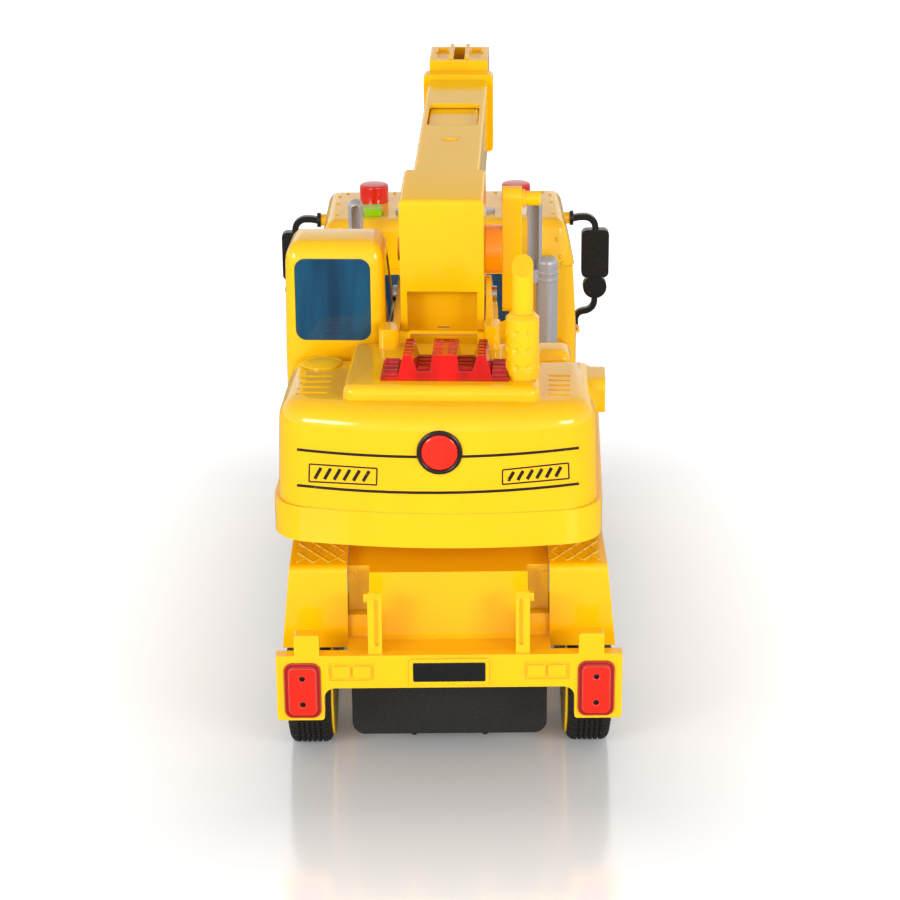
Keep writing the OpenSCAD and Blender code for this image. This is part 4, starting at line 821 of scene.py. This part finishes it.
def tyre_section():
    flat = HALF_W - SHOULDER_R
    shoulder = []
    for i in range(SHOULDER_STEPS + 1):
        a = math.radians(90 * i / SHOULDER_STEPS)
        up = TYRE_R - SHOULDER_R + SHOULDER_R * math.sin(a)
        shoulder.append((flat + SHOULDER_R * math.cos(a), up))
    section = [(-HALF_W, BORE_R)] + [(-x, r) for x, r in shoulder]
    for i in range(GROOVES):
        middle = flat * (2 * (i + 0.5) / GROOVES - 1)
        for x, down in GROOVE_FORM:
            section.append((middle + x * GROOVE_W / 2, TYRE_R - down * GROOVE_DEEP))
    return section + shoulder[::-1] + [(HALF_W - x, BORE_R + r) for x, r in RIM_SEAT]


section = tyre_section()
print("tyre section has", len(section), "corners")

# %% Tyres
AXLES = ("rear", "mid", "front")
SLOTS, SLOT_SHARE, SLOT_FLOOR_R = 36, 0.23, 25.8
BLOCK = 1 - SLOT_SHARE
PITCH = ((0, TYRE_R), (BLOCK / 2, TYRE_R), (BLOCK, TYRE_R), (BLOCK, SLOT_FLOOR_R), (1, SLOT_FLOOR_R))
WELD_MM = 0.001


def turn_tyre(shape, side, centre):
    rings = []
    for i in range(SLOTS):
        for step, top in PITCH:
            a = 2 * math.pi * (i + step) / SLOTS
            c, s = math.cos(a), math.sin(a)
            ring = [Vector((side * x, min(r, top) * c, min(r, top) * s)) for x, r in section]
            rings.append([shape.verts.new((centre + p) * MM) for p in ring])
    for ring, after in zip(rings, rings[1:] + rings[:1]):
        for j in range(len(section)):
            k = (j + 1) % len(section)
            shape.faces.new((ring[j], ring[k], after[k], after[j]))


for axle in AXLES:
    low, high = (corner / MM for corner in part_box(axle + "_tyres"))
    middle = (low + high) / 2
    shape = bmesh.new()
    for side in (-1, 1):
        turn_tyre(shape, side, Vector((side * (high.x - HALF_W), middle.y, middle.z)))
    bmesh.ops.remove_doubles(shape, verts=shape.verts, dist=WELD_MM * MM)
    bmesh.ops.recalc_face_normals(shape, faces=shape.faces)
    treads = keep_shape(axle + "_treads", shape, tyre_pvc)
    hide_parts(axle + "_tyres")
    put(treads, axle + "_wheelset")

# %% Tyre side ribs
TYRE_RIBS, TYRE_RIB_R, RIB_IN, RIB_OUT = 40, 0.4, 19.8, 22.6
for axle in AXLES:
    low, high = (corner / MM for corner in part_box(axle + "_tyres"))
    middle = (low + high) / 2
    ribs_round = []
    for side in (-1, 1):
        for i in range(TYRE_RIBS):
            a = 2 * math.pi * i / TYRE_RIBS
            ends = [(r * math.cos(a), r * math.sin(a)) for r in (RIB_IN, RIB_OUT)]
            ribs_round.append([(side * high.x, middle.y + y, middle.z + z) for y, z in ends])
    lay_beads(axle + "_tyre_ribs", ribs_round, TYRE_RIB_R, tyre_pvc, axle + "_wheelset")

# %% [markdown]
# ## Floor and light
# A white sweep with a polished face, one big soft light on each side of the camera and an even bright
# surround, as in a catalogue studio. The sweep mirrors the wheels, and away from the truck it glows a
# little by itself, so that it fades to white as an overlit sweep does. Glossy plastic would mirror all
# that white and look washed out, so a photographer sets black cards in front of it. Here rays that
# leave a glossy face see a fainter floor instead.

# %% Floor
FLOOR_HALF = 6.0
MATT_WHITE, BRIGHT, BLACK = (0.88, 0.88, 0.88, 1), (1, 1, 1, 1), (0, 0, 0, 1)
POLISH_SHARE, POLISH_ROUGH = 0.3, 0.16
SHADED_HALF, SHADE_FADE = (0.06, 0.16, 0.0), 0.12
LIT_NEAR, LIT_FAR = 0.08, 0.48
FAINT = 0.75
floor_mesh = bpy.data.meshes.new("floor")
corners = [(x * FLOOR_HALF, y * FLOOR_HALF, 0) for x, y in ((-1, -1), (1, -1), (1, 1), (-1, 1))]
floor_mesh.from_pydata(corners, [], [(0, 1, 2, 3)])
floor = new_object("floor", floor_mesh)
floor_paint, tree, out, place = new_material("polished_white_floor")
matt = add(tree, "ShaderNodeBsdfDiffuse", inputs={"Color": MATT_WHITE}).outputs[0]
shine = {"Color": BRIGHT, "Roughness": POLISH_ROUGH}
polish = add(tree, "ShaderNodeBsdfGlossy", inputs=shine).outputs[0]
polished = add(tree, "ShaderNodeMixShader", inputs={0: POLISH_SHARE, 1: matt, 2: polish}).outputs[0]
away = add(tree, "ShaderNodeVectorMath", {"operation": "ABSOLUTE"}, {0: place}).outputs[0]
for operation, amount in (("SUBTRACT", SHADED_HALF), ("MAXIMUM", (0.0, 0.0, 0.0))):
    away = add(tree, "ShaderNodeVectorMath", {"operation": operation}, {0: away, 1: amount}).outputs[0]
far = add(tree, "ShaderNodeVectorMath", {"operation": "LENGTH"}, {0: away}).outputs["Value"]
rise = {"Value": far, 1: 0.0, 2: SHADE_FADE, 3: LIT_NEAR, 4: LIT_FAR}
strength = add(tree, "ShaderNodeMapRange", inputs=rise).outputs[0]
lit = add(tree, "ShaderNodeEmission", inputs={"Color": BRIGHT, "Strength": strength}).outputs[0]
both = add(tree, "ShaderNodeAddShader", inputs={0: polished, 1: lit}).outputs[0]
mirrored = add(tree, "ShaderNodeLightPath").outputs["Is Glossy Ray"]
faint = add(tree, "ShaderNodeMath", {"operation": "MULTIPLY"}, {0: mirrored, 1: FAINT}).outputs[0]
dark = add(tree, "ShaderNodeBsdfDiffuse", inputs={"Color": BLACK}).outputs[0]
paint = add(tree, "ShaderNodeMixShader", inputs={0: faint, 1: both, 2: dark}).outputs[0]
tree.links.new(paint, out.inputs[0])
floor_mesh.materials.append(floor_paint)
print("floor laid,", 2 * FLOOR_HALF, "m wide")

# %% Surround
LOW_Z, HIGH_Z = 0.15, 0.8
LOW_LIGHT, HIGH_LIGHT = 1.15, 0.45
world = bpy.data.worlds.new("studio")
bpy.context.scene.world = world
world.use_nodes = True
tree = world.node_tree
tree.nodes.clear()
out = add(tree, "ShaderNodeOutputWorld")
ray = add(tree, "ShaderNodeTexCoord").outputs["Generated"]
height = add(tree, "ShaderNodeSeparateXYZ", inputs={0: ray}).outputs["Z"]
fall = {"Value": height, 1: LOW_Z, 2: HIGH_Z, 3: LOW_LIGHT, 4: HIGH_LIGHT}
strength = add(tree, "ShaderNodeMapRange", inputs=fall).outputs[0]
sky = add(tree, "ShaderNodeBackground", inputs={"Color": BRIGHT, "Strength": strength})
tree.links.new(sky.outputs[0], out.inputs[0])
print("surround lit")

# %% Softboxes
SOFTBOX_W, SOFTBOX_H, SOFTBOX_WATTS = 0.55, 0.275, 7.6
SOFTBOX_Y, SOFTBOX_Z = -1.25, 0.62
LIT_SPOT = Vector((0, -0.1, 0.1))
for name, x in (("left_softbox", -0.85), ("right_softbox", 0.9)):
    lamp = bpy.data.lights.new(name, "AREA")
    lamp.shape = "RECTANGLE"
    lamp.size, lamp.size_y = SOFTBOX_W, SOFTBOX_H
    lamp.energy = SOFTBOX_WATTS
    spot = Vector((x, SOFTBOX_Y, SOFTBOX_Z))
    aim = (LIT_SPOT - spot).to_track_quat("-Z", "Y").to_matrix().to_4x4()
    new_object(name, lamp).matrix_world = Matrix.Translation(spot) @ aim
bpy.context.scene.view_settings.view_transform = "Standard"
print("two softboxes of", SOFTBOX_WATTS, "W")
